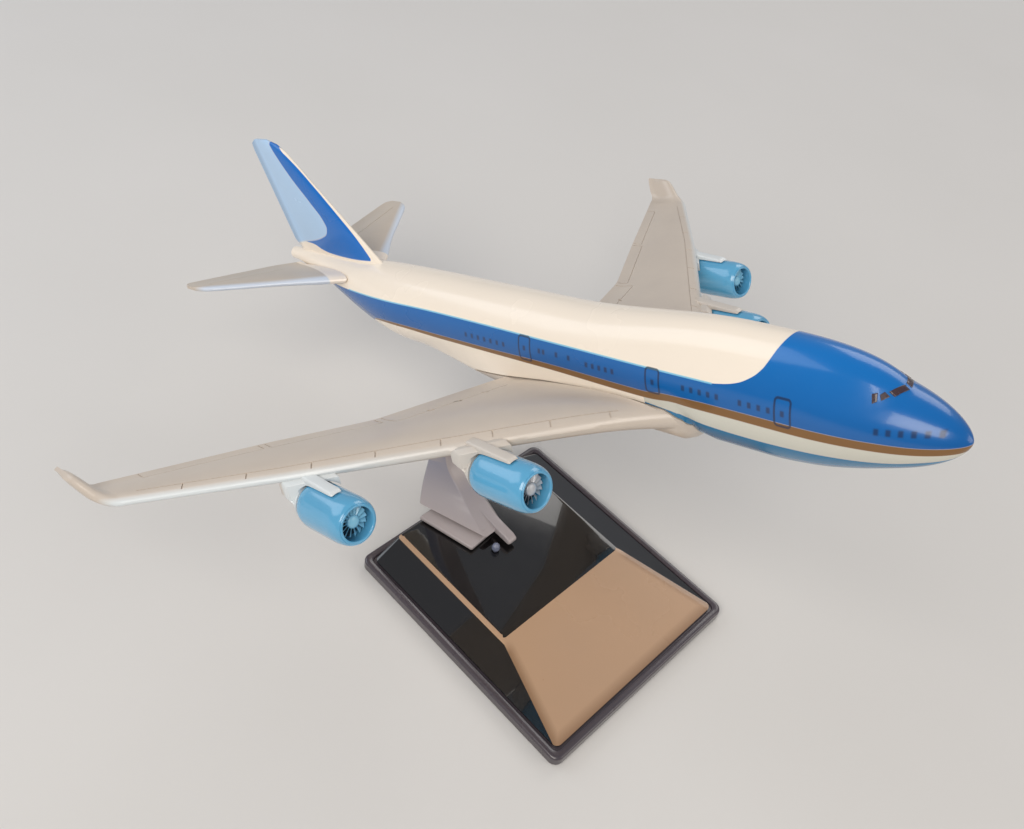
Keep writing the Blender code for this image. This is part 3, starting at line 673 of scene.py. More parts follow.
def coats(g, place, base, wear=0.04):
    """Paint that isn't quite even: a slow drift of tone and a fine orange peel."""
    drift = g.noise(place, 45.0, 4.0)
    fine = g.noise(place, 900.0, 2.0)
    tone = g.plus(g.times(drift, 2 * wear), 1.0 - wear)
    shade = g.add("ShaderNodeVectorMath", operation="SCALE")
    g.put(shade.inputs[0], base)
    g.put(shade.inputs["Scale"], tone)
    return shade.outputs[0], g.bump(fine, 0.00002, 0.35), drift


def repeat(g, value, first, pitch, count, half, soft):
    """Marks of one width at equal steps along value."""
    steps = g.math("DIVIDE", g.minus(value, first), pitch)
    near = g.math("ABSOLUTE", g.minus(steps, g.math("ROUND", steps)))
    inside = g.between(steps, -0.5, count - 0.5, 0.01)
    return g.both(inside, g.below(g.times(near, pitch), half, soft))


# Edges of the livery's fields on the cabin as (x, z), and of the crown and the fin as (z, x).
BAND_TOP = [(-60.5, 1.1), (-57.0, 1.17), (-51.4, 1.3), (-43.0, 1.43), (-29.3, 1.36), (-19.9, 1.31)]
BAND_TOP += [(-15.5, 1.32)]
BAND_BOTTOM = [(-60.5, -2.4), (-54.6, -1.5), (-52.1, -0.58), (-48.8, -0.4), (-38.4, -0.4), (-31.0, -0.3)]
BAND_BOTTOM += [(-21.7, -0.4), (-19.9, -0.21), (-16.5, -0.05), (-9.1, -0.02), (-5.3, -0.08), (-2.2, -0.22)]
BAND_BOTTOM += [(0.0, -0.3)]
GOLD_BOTTOM = [(-60.5, -2.5), (-54.6, -1.6), (-52.6, -0.84), (-48.9, -0.68), (-43.5, -0.79), (-31.0, -0.8)]
GOLD_BOTTOM += [(-22.0, -0.95), (-18.2, -0.66), (-10.5, -0.6), (-6.5, -0.63), (-3.2, -0.72), (0.0, -0.74)]
PALE_BOTTOM = [(-22.0, -1.3), (-18.5, -1.58), (-13.7, -1.8), (-8.0, -1.7), (-4.5, -1.63), (-2.4, -1.36)]
PALE_BOTTOM += [(0.0, -1.05)]
CROWN_EDGE = [(1.1, -18.1), (1.36, -15.6), (1.68, -13.9), (2.15, -12.87), (2.65, -12.23), (3.21, -11.8)]
CROWN_EDGE += [(3.99, -11.4), (4.6, -11.1)]
FIN_WHITE = [(3.0, -54.9), (3.66, -55.48), (5.16, -56.93), (7.29, -59.33), (9.9, -62.37), (12.06, -65.0)]
FIN_WHITE += [(13.02, -66.3), (14.0, -67.6)]
FIN_PANEL = [(4.6, -61.25), (5.76, -61.25), (6.52, -61.5), (8.22, -63.09), (10.56, -65.52)]
FIN_PANEL += [(13.05, -67.63), (14.0, -68.3)]
FIN_PANEL_FOOT = [(-69.0, 3.3), (-66.37, 3.95), (-64.18, 4.37), (-62.37, 4.92), (-61.6, 5.3), (-61.2, 5.9)]
FIN_BLUE_FOOT = [(-69.0, 4.5), (-66.4, 3.98), (-64.45, 3.88), (-63.31, 3.56), (-61.94, 3.36)]
FIN_BLUE_FOOT += [(-58.49, 3.3), (-54.8, 3.4)]
FIN_REAR = [(3.0, -67.4), (14.0, -71.2)]
# Doors: rear edge, front edge, sill and head. Window rows: first, pitch, count, height.
DOORS = [(-10.86, -9.74, -0.19, 1.5), (-21.1, -19.95, -0.33, 1.34), (-33.6, -32.4, -0.5, 1.36)]
DOOR_CORNER = 0.22
DOOR_LINE = 0.075
WINDOWS = [(-13.4, 0.7, 4, 0.6), (-17.9, 0.68, 5, 0.6), (-26.6, 0.62, 5, 0.45), (-31.4, 0.45, 2, 0.55)]
WINDOWS += [(-33.02, 0.7, 1, 0.48), (-29.6, 1.25, 2, 0.6), (-10.3, 0.7, 1, 0.6), (-20.5, 0.7, 1, 0.45)]
WINDOWS += [(-39.8, 0.74, 7, 0.33), (-4.46, 0.655, 6, 0.6)]
WINDOW_HALF = (0.14, 0.19)


def door_lines(g, x, z):
    """Thin rounded outlines."""
    lines = []
    for rear, front, low, high in DOORS:
        dx, dz = (
            g.minus(g.math("ABSOLUTE", g.minus(value, (start + end) / 2)), (end - start) / 2 - DOOR_CORNER)
            for value, start, end in ((x, rear, front), (z, low, high))
        )
        far = g.math("SQRT", g.plus(*[g.math("POWER", g.math("MAXIMUM", d, 0.0), 2.0) for d in (dx, dz)]))
        near = g.math("MINIMUM", g.math("MAXIMUM", dx, dz), 0.0)
        edge = g.math("ABSOLUTE", g.minus(g.plus(far, near), DOOR_CORNER))
        lines.append(g.below(edge, DOOR_LINE))
    return g.either(*lines)


def cabin_tone(g, x, z):
    """White crown, blue nose and side band, thin gold line, pale stripe and light-blue forward belly."""
    # Painted shading: the one livery blue is painted darker low down and lighter towards the top.
    blue = g.mix(g.spread(z, -1.0, 4.0, 0.0, 1.0), color(0, 82, 150), color(0, 110, 188))
    band_top = g.curve(x, BAND_TOP, 0.0, 2.0)
    gold_low = g.curve(x, GOLD_BOTTOM, -2.6, 1.2)
    pale_low = g.curve(x, PALE_BOTTOM, -3.0, 0.0)
    in_nose = g.above(x, g.curve(z, CROWN_EDGE, -20.0, -10.0))
    over_low = g.above(z, g.curve(x, BAND_BOTTOM, -2.5, 1.2))
    ahead = g.above(x, -60.6)
    band = g.both(over_low, g.either(g.both(in_nose, g.above(z, 1.15)), g.below(z, band_top)), ahead)
    rim = g.both(g.between(g.minus(z, band_top), -0.02, 0.07), g.between(x, -57.0, -15.6))
    gold = g.both(g.above(z, gold_low), g.inverse(over_low), ahead)
    forward = g.above(x, -21.6)
    stripe = g.both(g.below(z, gold_low), g.above(z, pale_low), forward)
    belly = g.both(g.below(z, pale_low), forward)
    tone = color(244, 232, 216)
    for field, paint in (
        (stripe, color(204, 202, 190)),
        (belly, color(6, 112, 158)),
        (gold, color(124, 86, 42)),
        (band, blue),
        (rim, color(120, 196, 224)),
    ):
        tone = g.mix(field, tone, paint)
    return tone


def fin_tone(g, x, z, tone):
    """Blue fin with a white front edge and a pale panel, over the cabin's tone, and painted shade along the
    rear edge.
    """
    on_fin = g.both(g.below(x, -55.4), g.above(z, 2.9))
    behind_white = g.above(g.curve(z, FIN_WHITE, -70.0, -54.0), x)
    over_foot = g.above(z, g.curve(x, FIN_BLUE_FOOT, 2.0, 6.0))
    panel = g.both(
        g.above(g.curve(z, FIN_PANEL, -70.0, -60.0), x, 0.12),
        g.above(z, g.curve(x, FIN_PANEL_FOOT, 2.0, 8.0), 0.1),
    )
    fin_blue = g.both(on_fin, behind_white, over_foot, g.inverse(panel))
    tone = g.mix(fin_blue, tone, color(0, 106, 192))
    tone = g.mix(g.both(on_fin, behind_white, panel), tone, color(176, 208, 240))
    # Painted shade: a strip along the fin's rear edge is darkened towards grey blue.
    rear = g.above(g.minus(g.curve(z, FIN_REAR, -72.0, -60.0), x), -0.35, 0.3)
    edge = g.both(on_fin, g.between(z, 3.15, 14.0), rear)
    return g.mix(g.times(edge, 0.45), tone, color(120, 140, 165))


def livery(name):
    g = Graph(name)
    x, _, z, _ = g.aircraft()
    windows = []
    for first, pitch, count, height in WINDOWS:
        row = repeat(g, x, first, pitch, count, WINDOW_HALF[0], 0.06)
        windows.append(g.both(row, g.between(z, height - WINDOW_HALF[1], height + WINDOW_HALF[1], 0.06)))
    doors = door_lines(g, x, z)
    tone = cabin_tone(g, x, z)
    tone = g.mix(g.times(g.either(*windows), 0.8), tone, color(22, 42, 78))
    tone = g.mix(g.times(doors, 0.8), tone, color(20, 32, 60))
    tone = fin_tone(g, x, z, tone)
    tone, normal, drift = coats(g, g.object_place(), tone, 0.03)
    normal = g.bump(doors, 0.00003, 0.4, normal)
    rough = g.spread(drift, 0.3, 0.7, 0.2, 0.3)
    return g.finish(tone, rough, normal, Coat_Weight=0.35, Coat_Roughness=0.06, IOR=1.45)


def behind_leading_edge(g, x, y):
    """Distance aft of the wing's leading edge, in full-size metres."""
    kink = WING_KINK_Y[0]
    inner = g.minus(g.math("MINIMUM", y, kink), WING_ROOT_Y)
    outer = g.math("MAXIMUM", g.minus(y, kink), 0.0)
    back = g.plus(g.times(inner, WING_LE_SWEEP[0]), g.times(outer, WING_LE_SWEEP[1]))
    return g.minus(g.minus(WING_LE_X, back), x)


def wing_paint(name):
    """Satin grey with a painted highlight: the outer leading edge is painted bluish white."""
    g = Graph(name)
    x, y, _, place = g.aircraft()
    base = g.mix(g.noise(place, 0.35, 3.0), color(204, 192, 178), color(194, 182, 170))
    # Painted highlight: bluish white along the outer leading edge, where it catches the light.
    edge = g.both(g.below(behind_leading_edge(g, x, y), 0.3, 0.25), g.above(y, 16.0, 6.0))
    base = g.mix(g.times(edge, 0.65), base, color(222, 236, 244))
    base, normal, drift = coats(g, g.object_place(), base)
    return g.finish(base, g.spread(drift, 0.3, 0.7, 0.3, 0.42), normal, Coat_Weight=0.25, Coat_Roughness=0.2)


def tail_paint(name):
    """The wing's grey, with a painted highlight in bluish white along the leading edge, and white near the
    hull.
    """
    g = Graph(name)
    x, y, _, place = g.aircraft()
    # Painted highlight: bluish white along the leading edge.
    back = g.minus(g.minus(-58.3, g.times(g.minus(y, 3.0), 0.86)), x)
    base = g.mix(g.noise(place, 0.5, 3.0), color(204, 190, 174), color(194, 182, 168))
    base = g.mix(g.times(g.below(back, 0.5, 0.35), 0.8), base, color(206, 220, 238))
    root = g.plus(1.3, g.times(0.24, g.plus(x, 66.5)))
    base = g.mix(g.above(root, y, 0.08), base, color(240, 228, 214))
    base, normal, drift = coats(g, g.object_place(), base)
    return g.finish(base, g.spread(drift, 0.3, 0.7, 0.34, 0.46), normal, Coat_Weight=0.2, Coat_Roughness=0.2)


def plain_paint(name, first, second, low, high, **settings):
    """An even coat that drifts between two close tones."""
    g = Graph(name)
    place = g.object_place()
    base = g.mix(g.noise(place, 70.0, 4.0), color(*first), color(*second))
    base, normal, drift = coats(g, place, base)
    return g.finish(base, g.spread(drift, 0.3, 0.7, low, high), normal, **settings)


def stand_paint(name, first, second, roughness, **settings):
    """Moulded plastic: faint mottling and a fine grain in the gloss."""
    g = Graph(name)
    place = g.object_place()
    base = g.mix(g.noise(place, 90.0, 5.0), color(*first), color(*second))
    grain = g.noise(place, 2400.0, 2.0, 0.7)
    smudge = g.noise(place, 60.0, 5.0, 0.6)
    rough = g.spread(smudge, 0.3, 0.75, roughness, roughness + 0.12)
    return g.finish(base, rough, g.bump(grain, 0.00001, 0.25), **settings)


def arm_paint(name):
    """Lavender grey above, with a painted highlight: paler and warmer towards the foot and on faces turned
    forward.
    """
    g = Graph(name)
    place = g.object_place()
    # Painted highlight: the low part and the faces turned forward (+X) are painted paler and warmer.
    low = g.inverse(g.spread(g.split(place)[2], 7 * MM, 17 * MM, 0.0, 1.0))
    facing = g.split(g.add("ShaderNodeNewGeometry").outputs["Normal"])[0]
    painted_highlight = g.math("MAXIMUM", low, g.spread(facing, 0.1, 0.6, 0.0, 1.0))
    base = g.mix(painted_highlight, color(126, 131, 152), color(178, 167, 164))
    base = g.mix(g.times(g.noise(place, 120.0, 4.0), 0.3), base, color(144, 144, 158))
    fine = g.noise(place, 1500.0, 2.0)
    rough = g.spread(g.noise(place, 60.0, 4.0), 0.3, 0.7, 0.3, 0.45)
    return g.finish(base, rough, g.bump(fine, 0.00001, 0.3), Coat_Weight=0.3, Coat_Roughness=0.15)


def reflection_paint(name):
    """Painted reflection of the front slope: a warm light mirrored in the black gloss, given as satin tan
    colour, browner along its lower and side edges where the painted reflection is weaker.
    """
    g = Graph(name)
    place = g.object_place()
    x, y, _ = g.split(place)
    foot_x = BASE_X - COVER_INSET
    flare = g.spread(x, TOP_FRONT, foot_x, TOP_HALF, BASE_Y - COVER_INSET)
    side = g.spread(g.minus(g.math("ABSOLUTE", y), flare), -1.8 * MM, 0.0, 0.0, 1.0)
    foot = g.spread(x, foot_x - 2.2 * MM, foot_x, 0.0, 1.0)
    edge = g.both(g.math("MAXIMUM", side, foot), g.above(x, TOP_FRONT + 2 * MM, 1 * MM))
    # The tan is a painted reflection of a warm light in the black gloss, not the plastic's own colour.
    base = g.mix(g.noise(place, 60.0, 4.0), color(184, 150, 120), color(174, 142, 114))
    # Browner along the lower and side edges: a weaker band of the same painted reflection.
    base = g.mix(g.times(edge, 0.7), base, color(120, 88, 60))
    rough = g.spread(g.noise(place, 60.0, 5.0), 0.3, 0.75, 0.22, 0.34)
    fine = g.bump(g.noise(place, 2400.0), 0.00001, 0.25)
    return g.finish(base, rough, fine, Coat_Weight=0.5, Coat_Roughness=0.1)


def grained(name, first, second, tone_noise, rough_noise, rough, grain=None, **settings):
    """Two close tones, a drifting roughness and, with grain as (noise, depth, strength), a fine bump."""
    g = Graph(name)
    place = g.object_place()
    base = g.mix(g.noise(place, *tone_noise), color(*first), color(*second))
    bump = g.bump(g.noise(place, *grain[0]), *grain[1:]) if grain else None
    return g.finish(base, g.spread(g.noise(place, *rough_noise), 0.3, 0.7, *rough), bump, **settings)


# ---------------------------------------------------------------- pieces


def dressed(obj, *materials, matrix=None, angle=32.0):
    """Brings a piece to its place, gives it its finish and smooths its round faces."""
    if matrix:
        obj.data.transform(matrix)
    if len(obj.data.materials) == 0:
        for mat in materials:
            obj.data.materials.append(mat)
    obj.data.shade_smooth()
    obj.data.set_sharp_from_angle(angle=math.radians(angle))
    return obj


def stands_for(obj, body, slot, *nodes):
    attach(obj, body)
    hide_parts(*nodes)
    return obj


def bevelled(obj, width, segments=3, angle=30.0):
    modifier = obj.modifiers.new("bevel", "BEVEL")
    modifier.width = width
    modifier.segments = segments
    modifier.angle_limit = math.radians(angle)
    return applied(obj)


def surface(obj):
    return BVHTree.FromObject(obj, bpy.context.evaluated_depsgraph_get())


def groove(tree, points, width, depth):
    """Rings of a narrow cutter that follows the upper surface along (x, y) points."""
    rings = []
    for i, (x, y) in enumerate(points):
        top = tree.ray_cast(Vector((x, y, 8.0)), Vector((0.0, 0.0, -1.0)))[0]
        if top is None:
            continue
        ahead, behind = points[min(i + 1, len(points) - 1)], points[max(i - 1, 0)]
        along = Vector((ahead[0] - behind[0], ahead[1] - behind[1], 0.0)).normalized()
        across = Vector((-along.y, along.x, 0.0)) * width / 2
        low, high = Vector((x, y, top.z - depth)), Vector((x, y, top.z + 0.6))
        rings.append([low - across, low + across, high + across, high - across])
    return rings


# Lines of a wing: the long ones run at a fixed distance from an edge (from y, to y, edge, distance, depth),
# the short ones join them to the edges.
LONG_LINES = ((4.6, 29.2, 0, -1.15, 0.06), (4.4, 13.0, 1, 2.25, 0.07))
LONG_LINES += ((13.6, 20.35, 1, 1.3, 0.06), (20.75, 27.9, 1, 1.1, 0.06))
LINE_STEPS = 24
SLAT_ENDS = (5.5, 8.5, 11.5, 14.2, 17.6, 20.9, 24.2, 27.4)
SLAT_JOINT = (0.764, 0.645)
FLAP_ENDS = ((13.05, 2.2), (13.55, 1.25), (20.35, 1.25), (20.75, 1.05), (27.9, 1.05))
FLAP_TRACKS = (6.25, 8.4, 10.5)


def wing_grooves(panel, side):
    """Slat, flap, aileron and spoiler lines of one wing, and the short joints between the slats."""
    tree = surface(panel)
    cutters = []

    def cut(points, width, depth):
        cutters.append(groove(tree, [(x, side * y) for x, y in points], width, depth))

    for start, end, edge, distance, depth in LONG_LINES:
        spans = [start + (end - start) * k / LINE_STEPS for k in range(LINE_STEPS + 1)]
        cut([(wing_edges(y)[edge] + distance, y) for y in spans], 0.07, depth)
    for y in SLAT_ENDS:
        le = wing_edges(y)[0]
        cut([(le - SLAT_JOINT[0] * t, y - SLAT_JOINT[1] * t) for t in (0.3, 0.55, 0.85)], 0.1, 0.1)
    for y, reach in FLAP_ENDS:
        te = wing_edges(y)[1]
        cut([(te + 0.15, y), (te + reach / 2, y), (te + reach, y)], 0.08, 0.07)
    for y in FLAP_TRACKS:
        te = wing_edges(y)[1]
        cut([(te + 1.95, y + 0.15), (te + 2.55, y - 0.15)], 0.13, 0.1)
    for rings in cutters:
        if len(rings) > 1:
            combine(panel, loft("groove", rings), "DIFFERENCE")
    return panel


def smooth_rows(rows, count):
    """Rows read off smooth curves through the given rows."""
    last = len(rows) - 1
    return [[spline(column, last * i / count) for column in zip(*rows)] for i in range(count + 1)]


# The block behind a nacelle: distance behind the nacelle's end, half width, lift above the axis, half height.
PYLON_RIBS = ((AIR_GAP, 1.42, 0.0, 1.42), (0.5, 1.3, 0.25, 1.18), (1.5, 0.95, 0.9, 0.8), (2.6, 0.5, 1.3, 0.4))
RIDGE_TOP = NACELLE_R + 0.3


def fine_pylon(engine, side):
    """The rounded block behind a nacelle, its web under the wing and the bar along the nacelle's crown."""
    span, lip, axis_z = engine
    y = side * span
    rear = -(lip + NACELLE_LENGTH)
    rings = []
    for behind, wide, lift, tall in smooth_rows(PYLON_RIBS, 14):
        rings.append([Vector((rear - behind, y + wide * c, axis_z + lift + tall * s)) for c, s in circle(48)])
    block = loft("pylon", rings)
    rings = []
    for out in (-WEB_HALF, WEB_HALF):
        front = -lip - WEB_BACK - WEB_SWEEP * out
        outline = [(front, 0.7), (front, 1.8), (front - 0.5, 2.05)]
        outline += [(rear - 1.6, 1.7), (rear - 1.6, 0.9), (rear - 0.2, 0.4)]
        rings.append([Vector((x, y + side * out, axis_z + up)) for x, up in outline])
    web = bevelled(triangulated(loft("web", rings)), 0.14, 3, 40.0)
    top = axis_z + RIDGE_TOP
    outline = [(-lip - 1.6, top - 0.8), (-lip - 1.68, top - 0.22), (-lip - 1.95, top)]
    outline += [(rear - 1.0, top + 0.3), (rear - 1.0, top - 0.8)]
    ridge = bevelled(prism("ridge", outline, y - RIDGE_HALF, y + RIDGE_HALF), 0.16, 4)
    return combine(combine(block, web, "UNION"), ridge, "UNION")


def build_wings(mat):
    obj = combine(below_seam("wing_casting_fine", 0.0), hull("belly"), "INTERSECT")
    for side in (-1, 1):
        panel = wing_grooves(wing(side), side)
        for engine in (INNER_ENGINE, OUTER_ENGINE):
            combine(panel, fine_pylon(engine, side), "UNION")
            combine(panel, nacelle_space(engine, side), "DIFFERENCE")
        above = combine(hull("above", AIR_GAP), below_seam("below", -0.05), "DIFFERENCE")
        combine(obj, combine(panel, above, "DIFFERENCE"), "UNION")
    combine(obj, peg_box("pocket", AIR_GAP), "DIFFERENCE")
    for station in SCREW_STATIONS:
        for radius, low, high, segments in ((SCREW_HEAD_R, -7.0, -3.45, 32), (SCREW_SHANK_R, -4.0, 0.0, 24)):
            hole = upright_cylinder("hole", station, radius + SCREW_PLAY, low, high, segments)
            combine(obj, hole, "DIFFERENCE")
    return stands_for(dressed(obj, mat, matrix=TO_STAND), "aircraft", "wing_paint", "wing_casting")


def build_fuselage(mat):
    obj = combine(hull("fuselage_fine"), below_seam("under", AIR_GAP), "DIFFERENCE")
    combine(obj, fin(), "UNION")
    return stands_for(dressed(obj, mat, matrix=TO_STAND), "aircraft", "fuselage_paint", "fuselage_casting")


def build_tailplane(label, side, mat):
    rings = []
    for y, le, te, thick in smooth_rows(STAB_RIBS, 36):
        rings.append(wing_section(min(y, STAB_SPAN), STAB_Z + STAB_DIHEDRAL * y, le, te, thick, 0.0, side))
    obj = loft(f"tailplane_{label}_fine", rings)
    hinge_x, slope, hinge_y = STAB_HINGE
    points = [(hinge_x - slope * (y - hinge_y), side * y) for y in (3.6, 5.0, 6.5, 8.0, 9.5, 10.6)]
    combine(obj, loft("groove", groove(surface(obj), points, 0.09, 0.08)), "DIFFERENCE")
    combine(obj, hull("skin", AIR_GAP), "DIFFERENCE")
    return stands_for(dressed(obj, mat, matrix=TO_STAND), "aircraft", "wing_paint", f"tailplane_{label}")


def build_nacelle(where, label, engine, side, mat, recess_shade):
    """Nacelle with a rounded lip, its duct and the bore for the fan's axle."""
    span, lip, axis_z = engine
    floor = FAN_DEPTH + FAN_WIDTH + DUCT_BEHIND_FAN
    bore = AXLE_R + AXLE_CLEARANCE
    end = -floor - AXLE_LENGTH - 0.1
    inner = [(end, AXLE_POINT_R), (end, bore), (-floor, bore), (-floor, FAN_R + 0.13)]
    inner += [(-0.5, FAN_R + 0.12), (-0.2, INLET_R - 0.01), (-LIP_HALF, INLET_R)]
    lip_arc = []
    for k in range(1, 12):
        angle = math.pi * k / 12
        middle, half = (LIP_R + INLET_R) / 2, (LIP_R - INLET_R) / 2
        lip_arc.append((-LIP_HALF + LIP_HALF * math.sin(angle), middle - half * math.cos(angle)))
    outer = [tuple(row) for row in smooth_rows([(-x, r) for x, r in NACELLE_LINE[1:]], 40)]
    profile = inner + lip_arc + outer + [(-NACELLE_LENGTH, AXLE_POINT_R)]
    front = Vector((-lip, side * span, axis_z))
    obj = turned(f"nacelle_{where}_{label}_fine", profile, NACELLE_SEGMENTS, front)
    for paint in (mat, recess_shade):
        obj.data.materials.append(paint)
    # Faces of the duct behind the fan get painted shade, a dark blue grey in the recess.
    for face in obj.data.polygons:
        from_axis = math.hypot(face.center.y - side * span, face.center.z - axis_z)
        behind_fan = FAN_DEPTH + FAN_WIDTH < -lip - face.center.x < floor + AXLE_LENGTH + 0.2
        face.material_index = 1 if behind_fan and from_axis < FAN_R + 0.2 else 0
    dressed(obj, matrix=TO_STAND)
    return stands_for(obj, "aircraft", "nacelle_paint", f"nacelle_{where}_{label}")


def fan_blade(center, turn):
    """Rings of one twisted blade, from the hub outwards."""
    rings = []
    for k in range(BLADE_RIBS):
        out = k / (BLADE_RIBS - 1)
        radius = BLADE_ROOT_R + (FAN_R - 0.03 - BLADE_ROOT_R) * out
        pitch = math.radians(BLADE_PITCH[0] + BLADE_PITCH[1] * out)
        chord, thick = 0.3 + 0.02 * k, 0.07 - 0.006 * k
        ring = []
        for u, v in BLADE_SECTION:
            axial = -FAN_WIDTH / 2 + chord * u * math.cos(pitch) + thick * v * math.sin(pitch)
            around = -chord * u * math.sin(pitch) + thick * v * math.cos(pitch)
            angle = turn + around / radius
            ring.append(center + Vector((axial, radius * math.cos(angle), radius * math.sin(angle))))
        rings.append(ring)
    return rings


def build_fan(where, label, engine, side, mat):
    """Blades round a domed hub, with the axle behind."""
    span, lip, axis_z = engine
    center = Vector((-lip - FAN_DEPTH, side * span, axis_z))
    hub = [(FAN_DOME, 0.004)]
    for k in range(1, 11):
        angle = math.pi * k / 20
        hub.append((FAN_DOME * math.cos(angle), FAN_HUB_R * math.sin(angle)))
    hub += [(-FAN_WIDTH * 0.9, FAN_HUB_R * 0.97), (-FAN_WIDTH * 0.9, AXLE_R)]
    axle_end = -FAN_WIDTH - DUCT_BEHIND_FAN - AXLE_LENGTH + 0.15
    obj = turned(f"fan_{where}_{label}_fine", hub + [(axle_end, AXLE_R), (axle_end, 0.004)], 40, center)
    for blade in range(BLADES):
        joined(obj, loft("blade", fan_blade(center, 2 * math.pi * blade / BLADES)))
    dressed(obj, mat, matrix=TO_STAND)
    slot = "fan_silver" if where == "inner" else "fan_blue"
    return stands_for(obj, f"{where}_{label}_fan", slot, f"fan_{where}_{label}")


def joined(obj, other):
    """Adds another mesh to obj as it stands."""
    bm = bmesh.new()
    bm.from_mesh(obj.data)
    bm.from_mesh(other.data)
    bm.to_mesh(obj.data)
    bm.free()
    bpy.data.objects.remove(other, do_unlink=True)
    return obj


def hull_patch(tree, corners, lift=0.035, steps=10):
    """A small panel that follows the hull between four corners."""
    first, second, third, fourth = (Vector(corner) for corner in corners)
    points = []
    for i in range(steps + 1):
        for j in range(steps + 1):
            place = first.lerp(second, i / steps).lerp(fourth.lerp(third, i / steps), j / steps)
            spot, normal = tree.find_nearest(place)[:2]
            points.append(spot + normal * lift)
    row = steps + 1
    starts = [i * row + j for i in range(steps) for j in range(steps)]
    return mesh_object("cockpit_glass", points, [(a, a + 1, a + row + 1, a + row) for a in starts])


# Corners of the cockpit panes of the starboard side.
PANES = [
    [(-5.12, -1.55, 2.39), (-4.83, -1.4, 2.45), (-4.74, -1.71, 2.05), (-4.97, -1.88, 1.95)],
    [(-4.69, -1.42, 2.37), (-4.52, -1.16, 2.47), (-4.2, -1.2, 2.25), (-4.55, -1.6, 2.1)],
    [(-4.34, -1.04, 2.45), (-3.87, -0.12, 2.57), (-3.54, -0.14, 2.36), (-3.98, -1.08, 2.23)],
]


def build_cockpit_glass(mat):
    """Side panes and the windscreen panes, thin panels that follow the nose."""
    nose = hull("nose")
    tree = surface(nose)
    mirrored = [[(x, -side * y, z) for x, y, z in corners] for side in (-1, 1) for corners in PANES]
    obj, *others = [hull_patch(tree, corners) for corners in mirrored]
    bpy.data.objects.remove(nose, do_unlink=True)
    for pane in others:
        joined(obj, pane)
    dressed(obj, mat, matrix=TO_STAND)
    solid = obj.modifiers.new("thickness", "SOLIDIFY")
    solid.thickness = 0.12 * MM
    solid.offset = -1.0
    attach(obj, "aircraft")
    return obj


# Parts of the arm's foot in millimetres: the neck and the foot as (x, y), the toe as (x, z).
NECK = [(-27.0, 2.6), (-16.0, 0.2), (-15.0, -4.0), (-27.0, -6.0)]
FOOT = [(-26.6, 4.4), (-14.6, 0.8), (-13.8, -8.0), (-26.6, -11.2)]
TOE = [(-23.0, 6.0), (-23.0, 9.0), (-14.0, 7.9), (-10.6, 7.6), (-9.7, 7.1), (-9.5, 6.5), (-9.9, 6.0)]
ARM_STEPS = 72


def build_arm(mat):
    """Curved arm with its foot, toe and tongue, cut to the belly, and the peg on top."""
    last = len(ARM_RIBS) - 1
    obj = loft("stand_arm_fine", [arm_rib(last * k / ARM_STEPS) for k in range(ARM_STEPS + 1)])
    above = hull("above", AIR_GAP)
    above.data.transform(TO_STAND)
    combine(obj, above, "DIFFERENCE")
    combine(obj, foot_plate("neck", NECK, 5.8, 7.6), "UNION")
    low = (BASE_TOP + GAP) / MM
    combine(obj, bevelled(foot_plate("foot", FOOT, low, low + 1.1), 0.4 * MM, 4, 25.0), "UNION")
    toe = prism("toe", TOE, -1.6, 0.6)
    toe.data.transform(Matrix.Scale(MM, 4))
    combine(obj, bevelled(toe, 0.35 * MM, 4, 25.0), "UNION")
    combine(obj, tongue_box("tongue", 0.0, 2.9 * MM, 7.0 * MM), "UNION")
    peg = peg_box("peg", 0.0)
    peg.data.transform(TO_STAND)
    combine(obj, peg, "UNION")
    return stands_for(dressed(obj, mat, angle=38.0), "arm", "arm_plastic", "stand_arm")


def base_outline(inset, z, radius):
    """The base's rectangle, moved inwards."""
    return rounded_rectangle(-BASE_X + inset, BASE_X - inset, BASE_Y - inset, z, radius)


def build_plinth(mat):
    """Frame with a rolled rim, open in the middle and stepped below for the pad."""
    rim = [(0.0, RIM_BOTTOM), (0.0, PLINTH_TOP - 0.55 * MM)]
    for k in range(7):
        t = math.pi / 2 * k / 6
        rim.append((0.5 - 0.5 * math.cos(t), PLINTH_TOP - 0.5 * MM + 0.5 * MM * math.sin(t)))
    rim += [(1.3, PLINTH_TOP), (1.42, PLINTH_TOP - 0.12 * MM), (1.45, PLINTH_TOP - 0.5 * MM)]
    rings = [base_outline(inward * MM, z, 1.8 * MM - inward * MM * 0.5) for inward, z in rim]
    under = PAD_T + GAP
    for inset, z, radius in (
        (5.0, PLINTH_TOP - 0.5 * MM, 1.0), (5.0, under, 1.0), (1.6, under, 1.2), (1.6, RIM_BOTTOM, 1.2)
    ):
        rings.append(base_outline(inset * MM, z, radius * MM))
    obj = dressed(ring_band("base_plinth_fine", rings), mat, angle=50.0)
    return stands_for(obj, "stand_base", "plinth_gloss", "base_plinth")


# Rounding of the cover's top edge: way out at the back, front and sides, way down and corner, in millimetres.
COVER_ROUNDING = [(0.15, 2.0, 0.6, 0.3, 0.9), (-0.05, 1.1, 0.25, 0.14, 0.85), (-0.2, 0.4, 0.0, 0.06, 0.8)]
COVER_ROUNDING += [(-0.45, -0.1, -0.35, 0.015, 0.7), (-0.7, -0.6, -0.7, 0.0, 0.6)]


